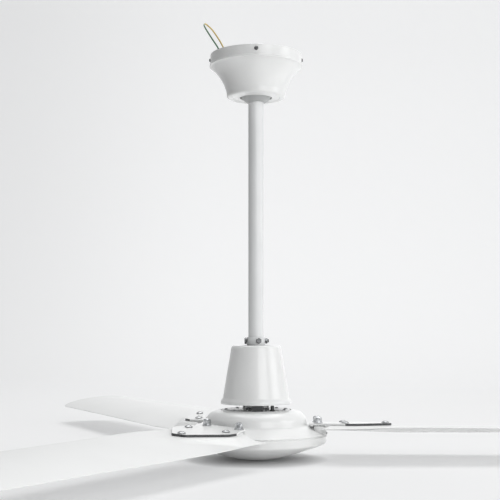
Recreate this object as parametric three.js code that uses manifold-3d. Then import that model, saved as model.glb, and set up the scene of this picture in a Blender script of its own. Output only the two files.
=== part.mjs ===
// Three-blade ceiling fan on a downrod, in millimetres, +Z up.
// The origin is the middle of the ceiling face of the hanger bracket, and the fan hangs down from it.
// The blades' own frame has +X along the blade; a positive "side" is the clockwise side seen from above.

import * as THREE from 'three';
import { mergeVertices } from 'three/addons/utils/BufferGeometryUtils.js';
import Module from 'manifold-3d';

const wasm = await Module();
wasm.setup();

// Clearances
const seatGap = 0.3; // between pieces that sit on each other
const runGap = 0.1; // shaft in a bearing, on the radius
const spinGap = 1.2; // between the standing and the turning pieces

// Fineness of the round pieces
const fineSides = 36;
const midSides = 20;
const smallSides = 12;
const screwSides = 8;

// Hanger bracket
const bracketSheet = 2.5;
const bracketDisc = 40; // radius
const wireHole = 9; // radius of the hole for the house wires
const wireHoleReach = 23; // behind the middle
const bracketArm = 18; // width of the four arms
const bracketLegWidth = 30;
const bracketLegReach = 34; // axis to the middle of a leg
const bracketBend = 4; // radius in the middle of the sheet
const ceilingScrewHole = 3;
const ceilingScrewReach = 24;

// Hanger ball and its seat
const ballRadius = 26;
const ballDrop = 46.4; // ceiling face to the ball's centre
const ballTopFlat = 12; // height of the ball's flat top above its centre
const seatWall = 4.7;
const seatOverPlate = 9.2; // height of the seat ring
const rodSlot = 25; // the slot that lets the rod in from behind
const pinRadius = 3;

// Canopy
const canopySheet = 1;
const canopyTop = 2; // below the ceiling face
const canopyBand = 65.4; // radius of the straight band
const canopyBandHeight = 14;
const canopyLip = 1.2; // how far the rolled lip stands out
const canopyLipHeight = 2.4;
const canopyDepth = 61; // top rim to the underside
const canopyNeck = 41.8; // radius at the foot of the flare
const canopyKnee = [52, 31]; // radius and depth that pull the flare inwards
const canopyHole = 23.3;
const canopyScrewDrop = 8; // ceiling face to the screws
const canopyScrewRadius = 2;
const canopyScrewHead = 2.8;

// Hanging lengths: what sits on the motor keeps its place over it
const motorBottom = 580; // below the ceiling face
const shoulderHeight = 71.3; // top of the motor over its bottom
const couplingHeight = 103.2;
const rodDepth = 63; // of the rod in the coupling
const collarShows = 12; // how much of the coupling stands out of its cover
const couplingBottom = motorBottom - shoulderHeight - 0.5;
const couplingTop = couplingBottom - couplingHeight;
const rodBottom = couplingTop + rodDepth;
const coverTop = couplingTop + collarShows;

// Downrod and coupling
const rodRadius = 11;
const rodWall = 2;
const rodAboveBall = 16;
const collarRadius = 13.2;
const collarHeight = 11;
const couplingRadius = 13;
const couplingFoot = 20;
const couplingFootHeight = 6;
const couplingWeb = 5; // between the rod's bore and the shaft's bore
const boltRadius = 2.5;
const boltOverhang = 1.3;
const nutHeight = 3;
const nutRadius = 4.6;

// Coupling cover
const coverSheet = 1.2;
const coverHeight = 83.4;
const coverTopRadius = 35;
const coverFootRadius = 47.6;
const coverBead = 50.8;
const coverBeadHeight = 5;
const coverCorner = 5;
const coverHole = 21;

// Motor
const motorRadius = 102.5;
const shellWall = 2;
const motorSplit = 37; // height of the joint between the shells over the motor's bottom
const shoulderRadius = 73;
const shoulderFlat = 52;
const flangeTop = 49.4; // height where the flange leaves the shoulder
const flangeEdge = 38.2;
const recessRadius = 50;
const recessDepth = 2.6;
const domeFlat = 7;
const domeEdge = motorRadius - 7.5;
const domeHeight = 22;
const cornerHeight = 28;
const shaftRadius = 7.4;
const shaftShoulder = 9.5;
const shaftEnd = 5; // height over the motor's bottom
const bearingOuter = 17.5;
const bearingWidth = 11;
const hubWall = 4.2;
const lowerBearing = 6; // height of its underside
const upperBearing = shoulderHeight - 15.3;
const stackHeight = 8.8; // stator and rotor iron
const stackBottom = 28.2;
const stackSplit = motorRadius - 20; // radius between stator and rotor iron
const windingInner = 40;
const windingOuter = Math.min(shoulderRadius - 6, stackSplit - 12);
const upperWinding = 15;
const lowerWinding = 7;
const plateRadius = 49;
const plateSheet = 1.5;
const terminalWidth = 15;
const terminalEars = 33; // over both ears
const terminalEarHeight = 3;
const terminalDepth = 13;
const terminalSide = 1.8; // its middle, right of the axis
const capacitorWidth = 38;
const capacitorDepth = 17;
const capacitorHeight = 26;
const capacitorInner = 22; // axis to its near face

// Blades and their irons
const bladeCount = 3;
const restTurn = THREE.MathUtils.degToRad(-1.5); // of the first blade from +X
const bladeTip = 711;
const rootArc = 112; // the root is cut to an arc round the motor
const bladeSheet = 1;
const rootHalf = 69;
const midHalf = 62;
const tipHalf = 57.5;
const tipCorner = 36;
const bladeLift = 46.5; // height of the blade's middle over the motor's bottom
const rootPitch = 0.105; // rise per millimetre of width
const bladePitch = 0.142; // the same from pitchReach outwards
const pitchReach = 220;
const bladeCamber = 4.5; // fall from the middle to the edges
const padEdge = 3; // how far the pad stays flat beyond the iron
const padBlend = 24; // width over which the flat pad under the iron runs into the pitched blade
const ironSheet = 3;
const ironStart = 76;
const ironNeckEnd = 86;
const ironNeckHalf = 31;
const ironWideHalf = 46;
const ironWideStart = 124;
const ironTaperStart = 142;
const ironEnd = 193;
const ironEndHalf = 10;
const ironCorner = 7;
const ironSeat = 49.2; // height of the middle of the iron's underside
const ironPitch = 0.06;
const bossRadius = 6;
const lugEnd = motorRadius - 3.5; // reach of the lug that each boss stands on
const lugWidth = 8;
const ironBoltReach = motorRadius - 14.5;
const ironBoltSide = 26;
const ironBoltRadius = 3;
const ironBoltDepth = 6;
const ironWasherRadius = 6.6;
const ironWasherHeight = 2.4;
const ironHeadRadius = 5.4;
const ironHeadHeight = 6;
const bladeScrewRadius = 2.4;
const bladeScrewHead = 5.5;
const bladeScrewDome = 3;
const bladeScrewNut = 4.4;
const bladeScrewSpots = [[126, 30], [126, -30], [185, 0]]; // reach and side of each screw

// Earth wire
const wireRadius = 1.2;
const wireSides = 8;
const wireSteps = 34;
const connectorDepth = 14.2;
const connectorWidth = 30;
const connectorHeight = 14;
const connectorDrop = 16; // ceiling face to its top

const paint = { color: 0xe9ebea, roughness: 0.35, metalness: 0.05 };
const steel = { color: 0xb7babb, roughness: 0.4, metalness: 0.9 };
const greyPlastic = { color: 0x8f9192, roughness: 0.55, metalness: 0.0 };
const blackPlastic = { color: 0x1b1c1e, roughness: 0.5, metalness: 0.0 };
const copper = { color: 0xa4572b, roughness: 0.45, metalness: 0.8 };
const darkSteel = { color: 0x54585a, roughness: 0.5, metalness: 0.8 };
const earthGreen = { color: 0x9bb53a, roughness: 0.5, metalness: 0.0 };

const fan = new THREE.Group();

// ---- Solids ----

function place(x, y, z) {
  return new THREE.Matrix4().makeTranslation(x, y, z);
}

function turnZ(angle) {
  return new THREE.Matrix4().makeRotationZ(angle);
}

function turnX(angle) {
  return new THREE.Matrix4().makeRotationX(angle);
}

function turnY(angle) {
  return new THREE.Matrix4().makeRotationY(angle);
}

function chain(...matrices) {
  return matrices.reduce((all, next) => all.multiply(next), new THREE.Matrix4());
}

// A closed geometry as a solid, with its faces turned outwards.
function solidOf(geometry, matrix) {
  const bare = geometry.index ? geometry.toNonIndexed() : geometry.clone();
  Object.keys(bare.attributes)
    .filter((name) => name !== 'position')
    .forEach((name) => bare.deleteAttribute(name));
  if (matrix) bare.applyMatrix4(matrix);
  const merged = mergeVertices(bare, 1e-4);
  const places = merged.attributes.position.array;
  const faces = [];
  let volume = 0;
  const corner = (i) => new THREE.Vector3().fromArray(places, 3 * i);
  for (let i = 0; i < merged.index.count; i += 3) {
    const [a, b, c] = merged.index.array.slice(i, i + 3);
    if (a === b || b === c || a === c) continue;
    faces.push([a, b, c]);
    volume += corner(a).dot(corner(b).cross(corner(c)));
  }
  const outward = volume > 0 ? faces : faces.map(([a, b, c]) => [a, c, b]);
  return new wasm.Manifold(new wasm.Mesh({
    numProp: 3,
    vertProperties: new Float32Array(places),
    triVerts: new Uint32Array(outward.flat()),
  }));
}

function addPiece(name, solid, look) {
  const { vertProperties, triVerts, numProp } = solid.getMesh();
  const geometry = new THREE.BufferGeometry();
  const places = new Float32Array((vertProperties.length / numProp) * 3);
  for (let i = 0; i < places.length / 3; i += 1) {
    places.set(vertProperties.subarray(i * numProp, i * numProp + 3), 3 * i);
  }
  geometry.setAttribute('position', new THREE.BufferAttribute(places, 3));
  geometry.setIndex(new THREE.BufferAttribute(new Uint32Array(triVerts), 1));
  geometry.computeVertexNormals();
  const mesh = new THREE.Mesh(geometry, new THREE.MeshStandardMaterial(look));
  mesh.name = name;
  fan.add(mesh);
  return mesh;
}

function cut(solid, ...tools) {
  return tools.reduce((left, tool) => left.subtract(tool), solid);
}

function join(first, ...others) {
  return others.reduce((all, next) => all.add(next), first);
}

// A round solid about Z from [radius, height] points; a profile off the axis closes on itself.
function revolve(points, sides, matrix) {
  const onAxis = points[0][0] === 0 && points[points.length - 1][0] === 0;
  const outline = onAxis ? points : [...points, points[0]];
  const geometry = new THREE.LatheGeometry(outline.map(([r, z]) => new THREE.Vector2(r, z)), sides);
  geometry.rotateX(Math.PI / 2);
  return solidOf(geometry, matrix);
}

function cylinder(radius, bottom, top, sides, matrix) {
  return revolve([[0, bottom], [radius, bottom], [radius, top], [0, top]], sides, matrix);
}

function ring(inner, outer, bottom, top, sides, matrix) {
  return revolve([[inner, bottom], [outer, bottom], [outer, top], [inner, top]], sides, matrix);
}

function box(size, centre, matrix) {
  const geometry = new THREE.BoxGeometry(...size);
  geometry.translate(...centre);
  return solidOf(geometry, matrix);
}

// The same outline moved to its left by a distance, measured square to each stretch.
function offsetOutline(points, distance) {
  return points.map(([x, y], i) => {
    const before = points[Math.max(i - 1, 0)];
    const after = points[Math.min(i + 1, points.length - 1)];
    const into = new THREE.Vector2(x - before[0], y - before[1]);
    const out = new THREE.Vector2(after[0] - x, after[1] - y);
    if (into.length() === 0) into.copy(out);
    if (out.length() === 0) out.copy(into);
    into.normalize();
    out.normalize();
    const along = into.clone().add(out).normalize();
    const stretch = distance / Math.max(along.dot(into), 0.5);
    return [x - along.y * stretch, y + along.x * stretch];
  });
}

function sheetProfile(points, thickness) {
  return [...points, ...offsetOutline(points, thickness).reverse()];
}

function arcPoints(centre, radius, from, to, steps) {
  return Array.from({ length: steps + 1 }, (_, i) => {
    const angle = from + ((to - from) * i) / steps;
    return [centre[0] + radius * Math.cos(angle), centre[1] + radius * Math.sin(angle)];
  });
}

function curvePoints(points, steps) {
  const curve = new THREE.SplineCurve(points.map(([x, y]) => new THREE.Vector2(x, y)));
  return curve.getPoints(steps).map((p) => [p.x, p.y]);
}

// A strip of bent sheet: the polyline is its middle, its corners are rounded, and it runs along Y.
function bentStrip(points, bend, width, matrix) {
  const middle = [points[0]];
  for (let i = 1; i < points.length - 1; i += 1) {
    const here = new THREE.Vector2(...points[i]);
    const back = new THREE.Vector2(...points[i - 1]).sub(here).normalize();
    const ahead = new THREE.Vector2(...points[i + 1]).sub(here).normalize();
    for (let s = 0; s <= 3; s += 1) {
      const start = here.clone().addScaledVector(back, bend * (1 - s / 3));
      const end = here.clone().addScaledVector(ahead, (bend * s) / 3);
      const corner = start.lerp(end, s / 3);
      middle.push([corner.x, corner.y]);
    }
  }
  middle.push(points[points.length - 1]);
  const left = offsetOutline(middle, bracketSheet / 2);
  const right = offsetOutline(middle, -bracketSheet / 2).reverse();
  const shape = new THREE.Shape([...left, ...right].map(([x, y]) => new THREE.Vector2(x, y)));
  const geometry = new THREE.ExtrudeGeometry(shape, { depth: width, bevelEnabled: false });
  geometry.translate(0, 0, -width / 2);
  geometry.rotateX(Math.PI / 2);
  return solidOf(geometry, matrix);
}

// A curved sheet of even thickness: middle(along, across) is its middle, for along 0 to 1 and across -1 to 1.
function curvedSheet(steps, rows, middle, thickness) {
  const places = [];
  const faces = [];
  for (const level of [0.5, -0.5]) {
    for (const along of steps) {
      for (let j = 0; j <= rows; j += 1) {
        const [x, y, z] = middle(along, (2 * j) / rows - 1);
        places.push(x, y, z + level * thickness);
      }
    }
  }
  const last = steps.length - 1;
  const top = (i, j) => i * (rows + 1) + j;
  const under = (i, j) => (last + 1) * (rows + 1) + top(i, j);
  const quad = (a, b, c, d) => faces.push(a, b, c, a, c, d);
  for (let i = 0; i < last; i += 1) {
    for (let j = 0; j < rows; j += 1) {
      quad(top(i, j), top(i, j + 1), top(i + 1, j + 1), top(i + 1, j));
      quad(under(i, j), under(i + 1, j), under(i + 1, j + 1), under(i, j + 1));
    }
    quad(top(i, 0), top(i + 1, 0), under(i + 1, 0), under(i, 0));
    quad(top(i, rows), under(i, rows), under(i + 1, rows), top(i + 1, rows));
  }
  for (let j = 0; j < rows; j += 1) {
    quad(top(0, j), under(0, j), under(0, j + 1), top(0, j + 1));
    quad(top(last, j), top(last, j + 1), under(last, j + 1), under(last, j));
  }
  const geometry = new THREE.BufferGeometry();
  geometry.setAttribute('position', new THREE.BufferAttribute(new Float32Array(places), 3));
  geometry.setIndex(faces);
  return solidOf(geometry);
}

// A closed outline with its corners rounded, as a shape.
function roundedShape(points, radius) {
  const corners = points.map(([x, y]) => new THREE.Vector2(x, y));
  const count = corners.length;
  const shape = new THREE.Shape();
  corners.forEach((corner, i) => {
    const back = corners[(i + count - 1) % count].clone().sub(corner);
    const ahead = corners[(i + 1) % count].clone().sub(corner);
    const cutBack = Math.min(radius, back.length() / 2.2, ahead.length() / 2.2);
    const from = corner.clone().addScaledVector(back.normalize(), cutBack);
    const to = corner.clone().addScaledVector(ahead.normalize(), cutBack);
    if (i === 0) shape.moveTo(from.x, from.y);
    else shape.lineTo(from.x, from.y);
    shape.quadraticCurveTo(corner.x, corner.y, to.x, to.y);
  });
  return shape;
}

// Height over the motor's bottom, as a place below the ceiling face.
function motorZ(height) {
  return height - motorBottom;
}

// ---- Ceiling side ----

const tabFace = canopyBand - canopySheet - 1; // outer face of the arms' turned-down ends
const legFoot = ballDrop + 11.4; // ceiling face to the middle of the U's floor
const legHole = Math.sqrt(ballRadius ** 2 - (legFoot - ballDrop - bracketSheet / 2) ** 2) + 1;

function makeBracket() {
  const armZ = -bracketSheet / 2;
  const armMiddle = tabFace - bracketSheet / 2;
  const armLine = [
    [-armMiddle, -canopyTop - canopyBandHeight + 1],
    [-armMiddle, armZ],
    [armMiddle, armZ],
    [armMiddle, -canopyTop - canopyBandHeight + 1],
  ];
  const legLine = [
    [-bracketLegReach, armZ],
    [-bracketLegReach, -legFoot],
    [bracketLegReach, -legFoot],
    [bracketLegReach, armZ],
  ];
  const plate = join(
    bentStrip(armLine, bracketBend, bracketArm),
    bentStrip(armLine, bracketBend, bracketArm, turnZ(Math.PI / 2)),
    bentStrip(legLine, bracketBend, bracketLegWidth),
    cylinder(bracketDisc, -bracketSheet, 0, fineSides),
  );
  const slotReach = 40;
  return cut(
    plate,
    cylinder(wireHole, -2 * bracketSheet, bracketSheet, midSides, place(0, wireHoleReach, 0)),
    cylinder(ceilingScrewHole, -2 * bracketSheet, bracketSheet, screwSides, place(ceilingScrewReach, 0, 0)),
    cylinder(ceilingScrewHole, -2 * bracketSheet, bracketSheet, screwSides, place(-ceilingScrewReach, 0, 0)),
    cylinder(legHole, -legFoot - bracketSheet, -legFoot + bracketSheet, midSides),
    box([rodSlot, slotReach, 3 * bracketSheet], [0, slotReach / 2, -legFoot]),
    ...aroundFour((turn) => screwHole(turn)),
  );
}

function aroundFour(make) {
  return [0, 1, 2, 3].map((i) => make(turnZ((i * Math.PI) / 2)));
}

// A hole along the radius for one canopy screw.
function screwHole(turn) {
  const across = chain(turn, place(0, 0, -canopyScrewDrop), turnY(Math.PI / 2));
  return cylinder(canopyScrewRadius + seatGap, bracketDisc + 8, canopyBand + 4, screwSides, across);
}

// The nylon ring that carries the ball, open behind where the rod goes in.
function makeBallSeat() {
  const floor = -legFoot + bracketSheet / 2 + seatGap;
  const inner = ballRadius + seatGap;
  const rise = (z) => Math.sqrt(inner ** 2 - (z + ballDrop) ** 2);
  const levels = [0, 0.25, 0.5, 0.75, 1].map((share) => floor + seatOverPlate * share);
  const profile = [
    ...levels.map((z) => [rise(z), z]),
    [inner + seatWall, floor + seatOverPlate],
    [inner + seatWall, floor],
  ];
  return cut(
    revolve(profile, midSides),
    box([rodSlot, 2 * ballRadius, 4 * seatOverPlate], [0, ballRadius, floor]),
  );
}

// Outer line of the canopy from the rim down: band, rolled lip, hollow flare, rounded foot.
function canopyLine() {
  const rim = -canopyTop;
  const bandFoot = rim - canopyBandHeight;
  const lipFoot = bandFoot - canopyLipHeight;
  const floor = rim - canopyDepth;
  const start = new THREE.Vector2(canopyBand - 1.2, lipFoot - 0.6);
  const knee = new THREE.Vector2(canopyKnee[0], rim - canopyKnee[1]);
  const foot = new THREE.Vector2(canopyNeck, floor + 3.4);
  const flare = new THREE.QuadraticBezierCurve(start, knee, foot);
  return [
    [canopyBand, rim],
    [canopyBand, bandFoot],
    [canopyBand + canopyLip, bandFoot - 0.7],
    [canopyBand + canopyLip, lipFoot + 0.5],
    ...flare.getPoints(4).map((p) => [p.x, p.y]),
    [canopyNeck - 0.8, floor + 1],
    [canopyNeck - 3, floor],
    [canopyHole, floor],
  ];
}

function makeCanopy() {
  const shell = revolve(sheetProfile(canopyLine(), -canopySheet), fineSides);
  const keySlot = box([8, 3, 4], [canopyHole + 8, 0, -canopyTop - canopyDepth]);
  const keyTurn = 1.0;
  return cut(
    shell,
    solidMoved(keySlot, turnZ(keyTurn)),
    ...aroundFour((turn) => screwHole(turn)),
  );
}

function solidMoved(solid, matrix) {
  return solid.transform(matrix.elements);
}

function makeCanopyScrew(turn) {
  const under = canopyBand + seatGap;
  const profile = [
    [0, tabFace - bracketSheet - 4],
    [canopyScrewRadius, tabFace - bracketSheet - 4],
    [canopyScrewRadius, under],
    [canopyScrewHead, under],
    [canopyScrewHead * 0.75, under + 1.2],
    [0, under + 1.7],
  ];
  return revolve(profile, screwSides, chain(turn, place(0, 0, -canopyScrewDrop), turnY(Math.PI / 2)));
}

function makeConnector() {
  const face = bracketLegReach + bracketSheet / 2 + seatGap;
  const solid = box(
    [connectorDepth, connectorWidth, connectorHeight],
    [-face - connectorDepth / 2, 0, -connectorDrop - connectorHeight / 2],
  );
  const groove = box([connectorDepth + 1, 2, 3], [-face - connectorDepth / 2, 0, -connectorDrop]);
  return cut(solid, groove);
}

// The wire stands up out of the canopy and comes back into it.
const wireRoute = [
  [-45.5, -12.3, -15.7],
  [-46.3, -12.6, -11.5],
  [-50.3, -12.8, -2],
  [-54.5, -12.8, 7],
  [-61.3, -12.3, 17.5],
  [-67.2, -10.8, 27],
  [-71.9, -8, 35.3],
  [-74.2, -4, 41.3],
  [-73, 0.5, 44.6],
  [-68.7, 5, 42.6],
  [-63.8, 8, 38.8],
  [-59, 10.3, 33],
  [-53, 12, 24.3],
  [-48, 13, 15.5],
  [-43.8, 13.3, 5],
  [-40.8, 13, -5],
  [-39.8, 12.7, -11.5],
  [-39.5, 12.3, -15.7],
];

function makeEarthWire() {
  const route = new THREE.CatmullRomCurve3(wireRoute.map((p) => new THREE.Vector3(...p)));
  const section = new THREE.Shape(
    arcPoints([0, 0], wireRadius, 0, 2 * Math.PI * (1 - 1 / wireSides), wireSides - 1)
      .map(([x, y]) => new THREE.Vector2(x, y)),
  );
  return solidOf(new THREE.ExtrudeGeometry(section, { steps: wireSteps, extrudePath: route }));
}

// ---- Hanging side ----

const rodBore = rodRadius + seatGap;

function makeBall() {
  const foot = Math.sqrt(ballRadius ** 2 - (rodRadius + 2) ** 2);
  const from = -Math.asin(foot / ballRadius);
  const to = Math.asin(ballTopFlat / ballRadius);
  const profile = [
    [rodBore, -foot],
    ...arcPoints([0, 0], ballRadius, from, to, 7),
    [rodBore, ballTopFlat],
  ];
  return cut(revolve(profile, midSides, place(0, 0, -ballDrop)), pinHole(ballRadius + 2));
}

function pinHole(reach) {
  return cylinder(pinRadius + seatGap, -reach, reach, smallSides, pinPlace());
}

function pinPlace() {
  return chain(place(0, 0, -ballDrop), turnX(Math.PI / 2));
}

function makeBallPin() {
  const reach = ballRadius - 1;
  const profile = [
    [0, -reach],
    [pinRadius - 0.6, -reach],
    [pinRadius, 0.6 - reach],
    [pinRadius, reach - 0.6],
    [pinRadius - 0.6, reach],
    [0, reach],
  ];
  return revolve(profile, smallSides, pinPlace());
}

const crossBoltDrop = couplingTop + collarHeight / 2;

function alongX(drop) {
  return chain(place(0, 0, -drop), turnY(Math.PI / 2));
}

function makeRod() {
  const tube = ring(rodRadius - rodWall, rodRadius, -rodBottom, rodAboveBall - ballDrop, midSides);
  const boltHole = cylinder(
    boltRadius + seatGap, -2 * rodRadius, 2 * rodRadius, smallSides, alongX(crossBoltDrop),
  );
  return cut(tube, pinHole(2 * rodRadius), boltHole);
}

function makeCoupling() {
  const rodFloor = -rodBottom - seatGap;
  const shaftRoof = rodFloor - couplingWeb;
  const shaftBore = shaftRadius + seatGap;
  const collarFoot = -couplingTop - collarHeight;
  const profile = [
    [0, shaftRoof],
    [shaftBore, shaftRoof],
    [shaftBore, -couplingBottom],
    [couplingFoot, -couplingBottom],
    [couplingFoot, -couplingBottom + couplingFootHeight],
    [couplingRadius + 2, -couplingBottom + couplingFootHeight + 2],
    [couplingRadius, -couplingBottom + couplingFootHeight + 6],
    [couplingRadius, collarFoot - 0.5],
    [collarRadius, collarFoot],
    [collarRadius, -couplingTop - 0.8],
    [collarRadius - 0.8, -couplingTop],
    [rodBore, -couplingTop],
    [rodBore, rodFloor],
    [0, rodFloor],
  ];
  const reach = 2 * collarRadius;
  return cut(
    revolve(profile, midSides),
    cylinder(boltRadius + seatGap, -reach, reach, smallSides, alongX(crossBoltDrop)),
    cylinder(boltRadius + seatGap, 0, reach, smallSides, lockScrewPlace()),
  );
}

// The bolt that carries the motor on the rod: hex head to the left, nut to the right.
function makeCrossBolt() {
  const under = collarRadius + seatGap;
  const end = under + nutHeight + 2 * seatGap + boltOverhang;
  const place = alongX(crossBoltDrop);
  return join(
    cylinder(boltRadius, -under - 1, end, smallSides, place),
    cylinder(nutRadius, -under - nutHeight, -under, 6, place),
  );
}

function makeCrossNut() {
  const under = collarRadius + seatGap;
  const inner = boltRadius + seatGap;
  const place = alongX(crossBoltDrop);
  return cut(
    cylinder(nutRadius, under, under + nutHeight, 6, place),
    cylinder(inner, under - 1, under + nutHeight + 1, smallSides, place),
  );
}

const lockScrewAngle = -1.3; // about Z from +X: in front, a little to the right

function lockScrewPlace() {
  return chain(turnZ(lockScrewAngle), place(0, 0, -crossBoltDrop), turnY(Math.PI / 2));
}

function makeLockScrew() {
  const tip = rodRadius + seatGap;
  const under = collarRadius + seatGap;
  return join(
    cylinder(boltRadius, tip, under + 1, smallSides, lockScrewPlace()),
    cylinder(boltRadius + 1.6, under, under + 2.6, 6, lockScrewPlace()),
  );
}

function makeShaft() {
  const low = lowerBearing + bearingWidth + seatGap;
  const high = upperBearing - seatGap;
  const profile = [
    [0, motorZ(shaftEnd)],
    [shaftRadius, motorZ(shaftEnd)],
    [shaftRadius, motorZ(low)],
    [shaftShoulder, motorZ(low)],
    [shaftShoulder, motorZ(high)],
    [shaftRadius, motorZ(high)],
    [shaftRadius, -rodBottom - couplingWeb - 2 * seatGap],
    [0, -rodBottom - couplingWeb - 2 * seatGap],
  ];
  return revolve(profile, midSides);
}

const recessFloor = shoulderHeight - recessDepth;
const plateTop = -couplingBottom - seatGap;

function makeTopPlate() {
  return ring(shaftRadius + seatGap, plateRadius, plateTop - plateSheet, plateTop, fineSides);
}

function makeTerminalBlock() {
  const height = -coverTop - coverHeight - plateTop - 2 * seatGap;
  const half = terminalWidth / 2;
  const earTip = terminalEars / 2;
  const earFoot = (height - terminalEarHeight) / 3;
  const right = [
    [half, 0],
    [half, earFoot / 2],
    [earTip, earFoot + 0.6],
    [earTip, earFoot + terminalEarHeight - 1.4],
    [half, earFoot + terminalEarHeight],
    [half, height],
  ];
  const left = right.map(([x, z]) => [-x, z]).reverse();
  const outline = new THREE.Shape([...right, ...left].map(([x, z]) => new THREE.Vector2(x, z)));
  const geometry = new THREE.ExtrudeGeometry(outline, { depth: terminalDepth, bevelEnabled: false });
  geometry.rotateX(Math.PI / 2);
  return solidOf(geometry, place(terminalSide, terminalDepth - coverBead + 2, plateTop + seatGap));
}

const grommetAngle = -1.062; // about Z from +X: just right of the block

// The moulded grommet that brings the motor's leads through the plate.
function makeGrommet() {
  const top = -coverTop - coverHeight - seatGap;
  const bottom = plateTop + seatGap;
  const profile = [
    [0, bottom],
    [3.8, bottom],
    [3.8, bottom + 2],
    [3.4, bottom + 2.6],
    [3.4, top - 1],
    [2.6, top],
    [0, top],
  ];
  return revolve(profile, smallSides, chain(turnZ(grommetAngle), place(coverBead - 4.4, 0, 0)));
}

function makeCapacitor() {
  const bottom = plateTop + seatGap;
  const outline = new THREE.Shape();
  const half = capacitorWidth / 2;
  const bend = 3;
  outline.moveTo(-half + bend, 0);
  outline.lineTo(half - bend, 0);
  outline.absarc(half - bend, bend, bend, -Math.PI / 2, 0);
  outline.lineTo(half, capacitorDepth - bend);
  outline.absarc(half - bend, capacitorDepth - bend, bend, 0, Math.PI / 2);
  outline.lineTo(-half + bend, capacitorDepth);
  outline.absarc(-half + bend, capacitorDepth - bend, bend, Math.PI / 2, Math.PI);
  outline.lineTo(-half, bend);
  outline.absarc(-half + bend, bend, bend, Math.PI, 1.5 * Math.PI);
  const settings = { depth: capacitorHeight, bevelEnabled: false, curveSegments: 4 };
  const geometry = new THREE.ExtrudeGeometry(outline, settings);
  return solidOf(geometry, place(0, capacitorInner, bottom));
}

// ---- Coupling cover ----

function coverLine() {
  const top = -coverTop;
  const foot = top - coverHeight;
  const corner = [coverTopRadius - coverCorner, top - coverCorner];
  return [
    [coverHole, top],
    ...arcPoints(corner, coverCorner, Math.PI / 2, 0.15, 3),
    [coverFootRadius, foot + coverBeadHeight + 3],
    [coverBead - 0.6, foot + coverBeadHeight - 1.6],
    [coverBead, foot + 2],
    [coverBead - 0.8, foot],
  ];
}

function makeCover() {
  return revolve(sheetProfile(coverLine(), -coverSheet), fineSides);
}

// ---- Motor ----

function makeStatorCore() {
  const inner = shaftShoulder + seatGap;
  const outer = stackSplit - spinGap / 2;
  return ring(inner, outer, motorZ(stackBottom), motorZ(stackBottom + stackHeight), fineSides);
}

function makeWinding(bottom, height) {
  return ring(windingInner, windingOuter, bottom, bottom + height, midSides);
}

function makeRotorRing() {
  const outer = motorRadius - shellWall - seatGap;
  const inner = stackSplit + spinGap / 2;
  return ring(inner, outer, motorZ(stackBottom), motorZ(stackBottom + stackHeight), fineSides);
}

function makeBearing(height) {
  return ring(shaftRadius + runGap, bearingOuter, motorZ(height), motorZ(height + bearingWidth), midSides);
}

function flangeHeight(radius) {
  return flangeTop - ((radius - shoulderRadius) * (flangeTop - flangeEdge)) / (motorRadius - shoulderRadius);
}

const bossGap = seatGap + bossRadius * ironPitch; // a boss's flat top under the pitched iron

function makeTopShell() {
  const hubBore = bearingOuter + seatGap;
  const hubRoof = upperBearing + bearingWidth + seatGap;
  const hubOuter = hubBore + hubWall;
  const underRecess = recessFloor - shellWall;
  const shoulder = curvePoints([
    [shoulderFlat, shoulderHeight],
    [shoulderFlat + (shoulderRadius - shoulderFlat) * 0.55, shoulderHeight - 3.4],
    [shoulderRadius - 1.8, flangeTop + 10.5],
    [shoulderRadius, flangeTop + 1.2],
  ], 5);
  const flangeStart = shoulderRadius + 3;
  const outer = [...shoulder, [flangeStart, flangeHeight(flangeStart)], [motorRadius, flangeEdge]];
  const inner = offsetOutline(outer, -shellWall).reverse();
  const split = motorSplit + seatGap / 2;
  const profile = [
    [shaftRadius + spinGap, recessFloor],
    [recessRadius, recessFloor],
    [recessRadius + 0.4, shoulderHeight - 0.4],
    ...outer,
    [motorRadius, split],
    [motorRadius - shellWall, split],
    ...inner.slice(1, -1),
    [shoulderFlat + 3, underRecess],
    [hubOuter, underRecess],
    [hubOuter, upperBearing],
    [hubBore, upperBearing],
    [hubBore, hubRoof],
    [shaftRadius + spinGap, hubRoof],
  ];
  const shell = revolve(profile.map(([r, z]) => [r, motorZ(z)]), fineSides);
  const bosses = ironBoltFrames().map((spot) => join(
    cylinder(bossRadius, motorZ(split + 0.4) - spot.height, -bossGap, smallSides, spot.upright),
    box(
      [lugEnd - ironBoltReach, lugWidth, spot.height - motorZ(split + 0.4) - 2 * bossGap],
      [(lugEnd - ironBoltReach) / 2, 0, (motorZ(split + 0.4) - spot.height) / 2 - bossGap],
      spot.upright,
    ),
  ));
  const holes = ironBoltFrames().map((spot) => cylinder(
    ironBoltRadius + seatGap, -ironBoltDepth - 1, 1, smallSides, spot.square,
  ));
  return cut(join(shell, ...bosses), ...holes);
}

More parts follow.
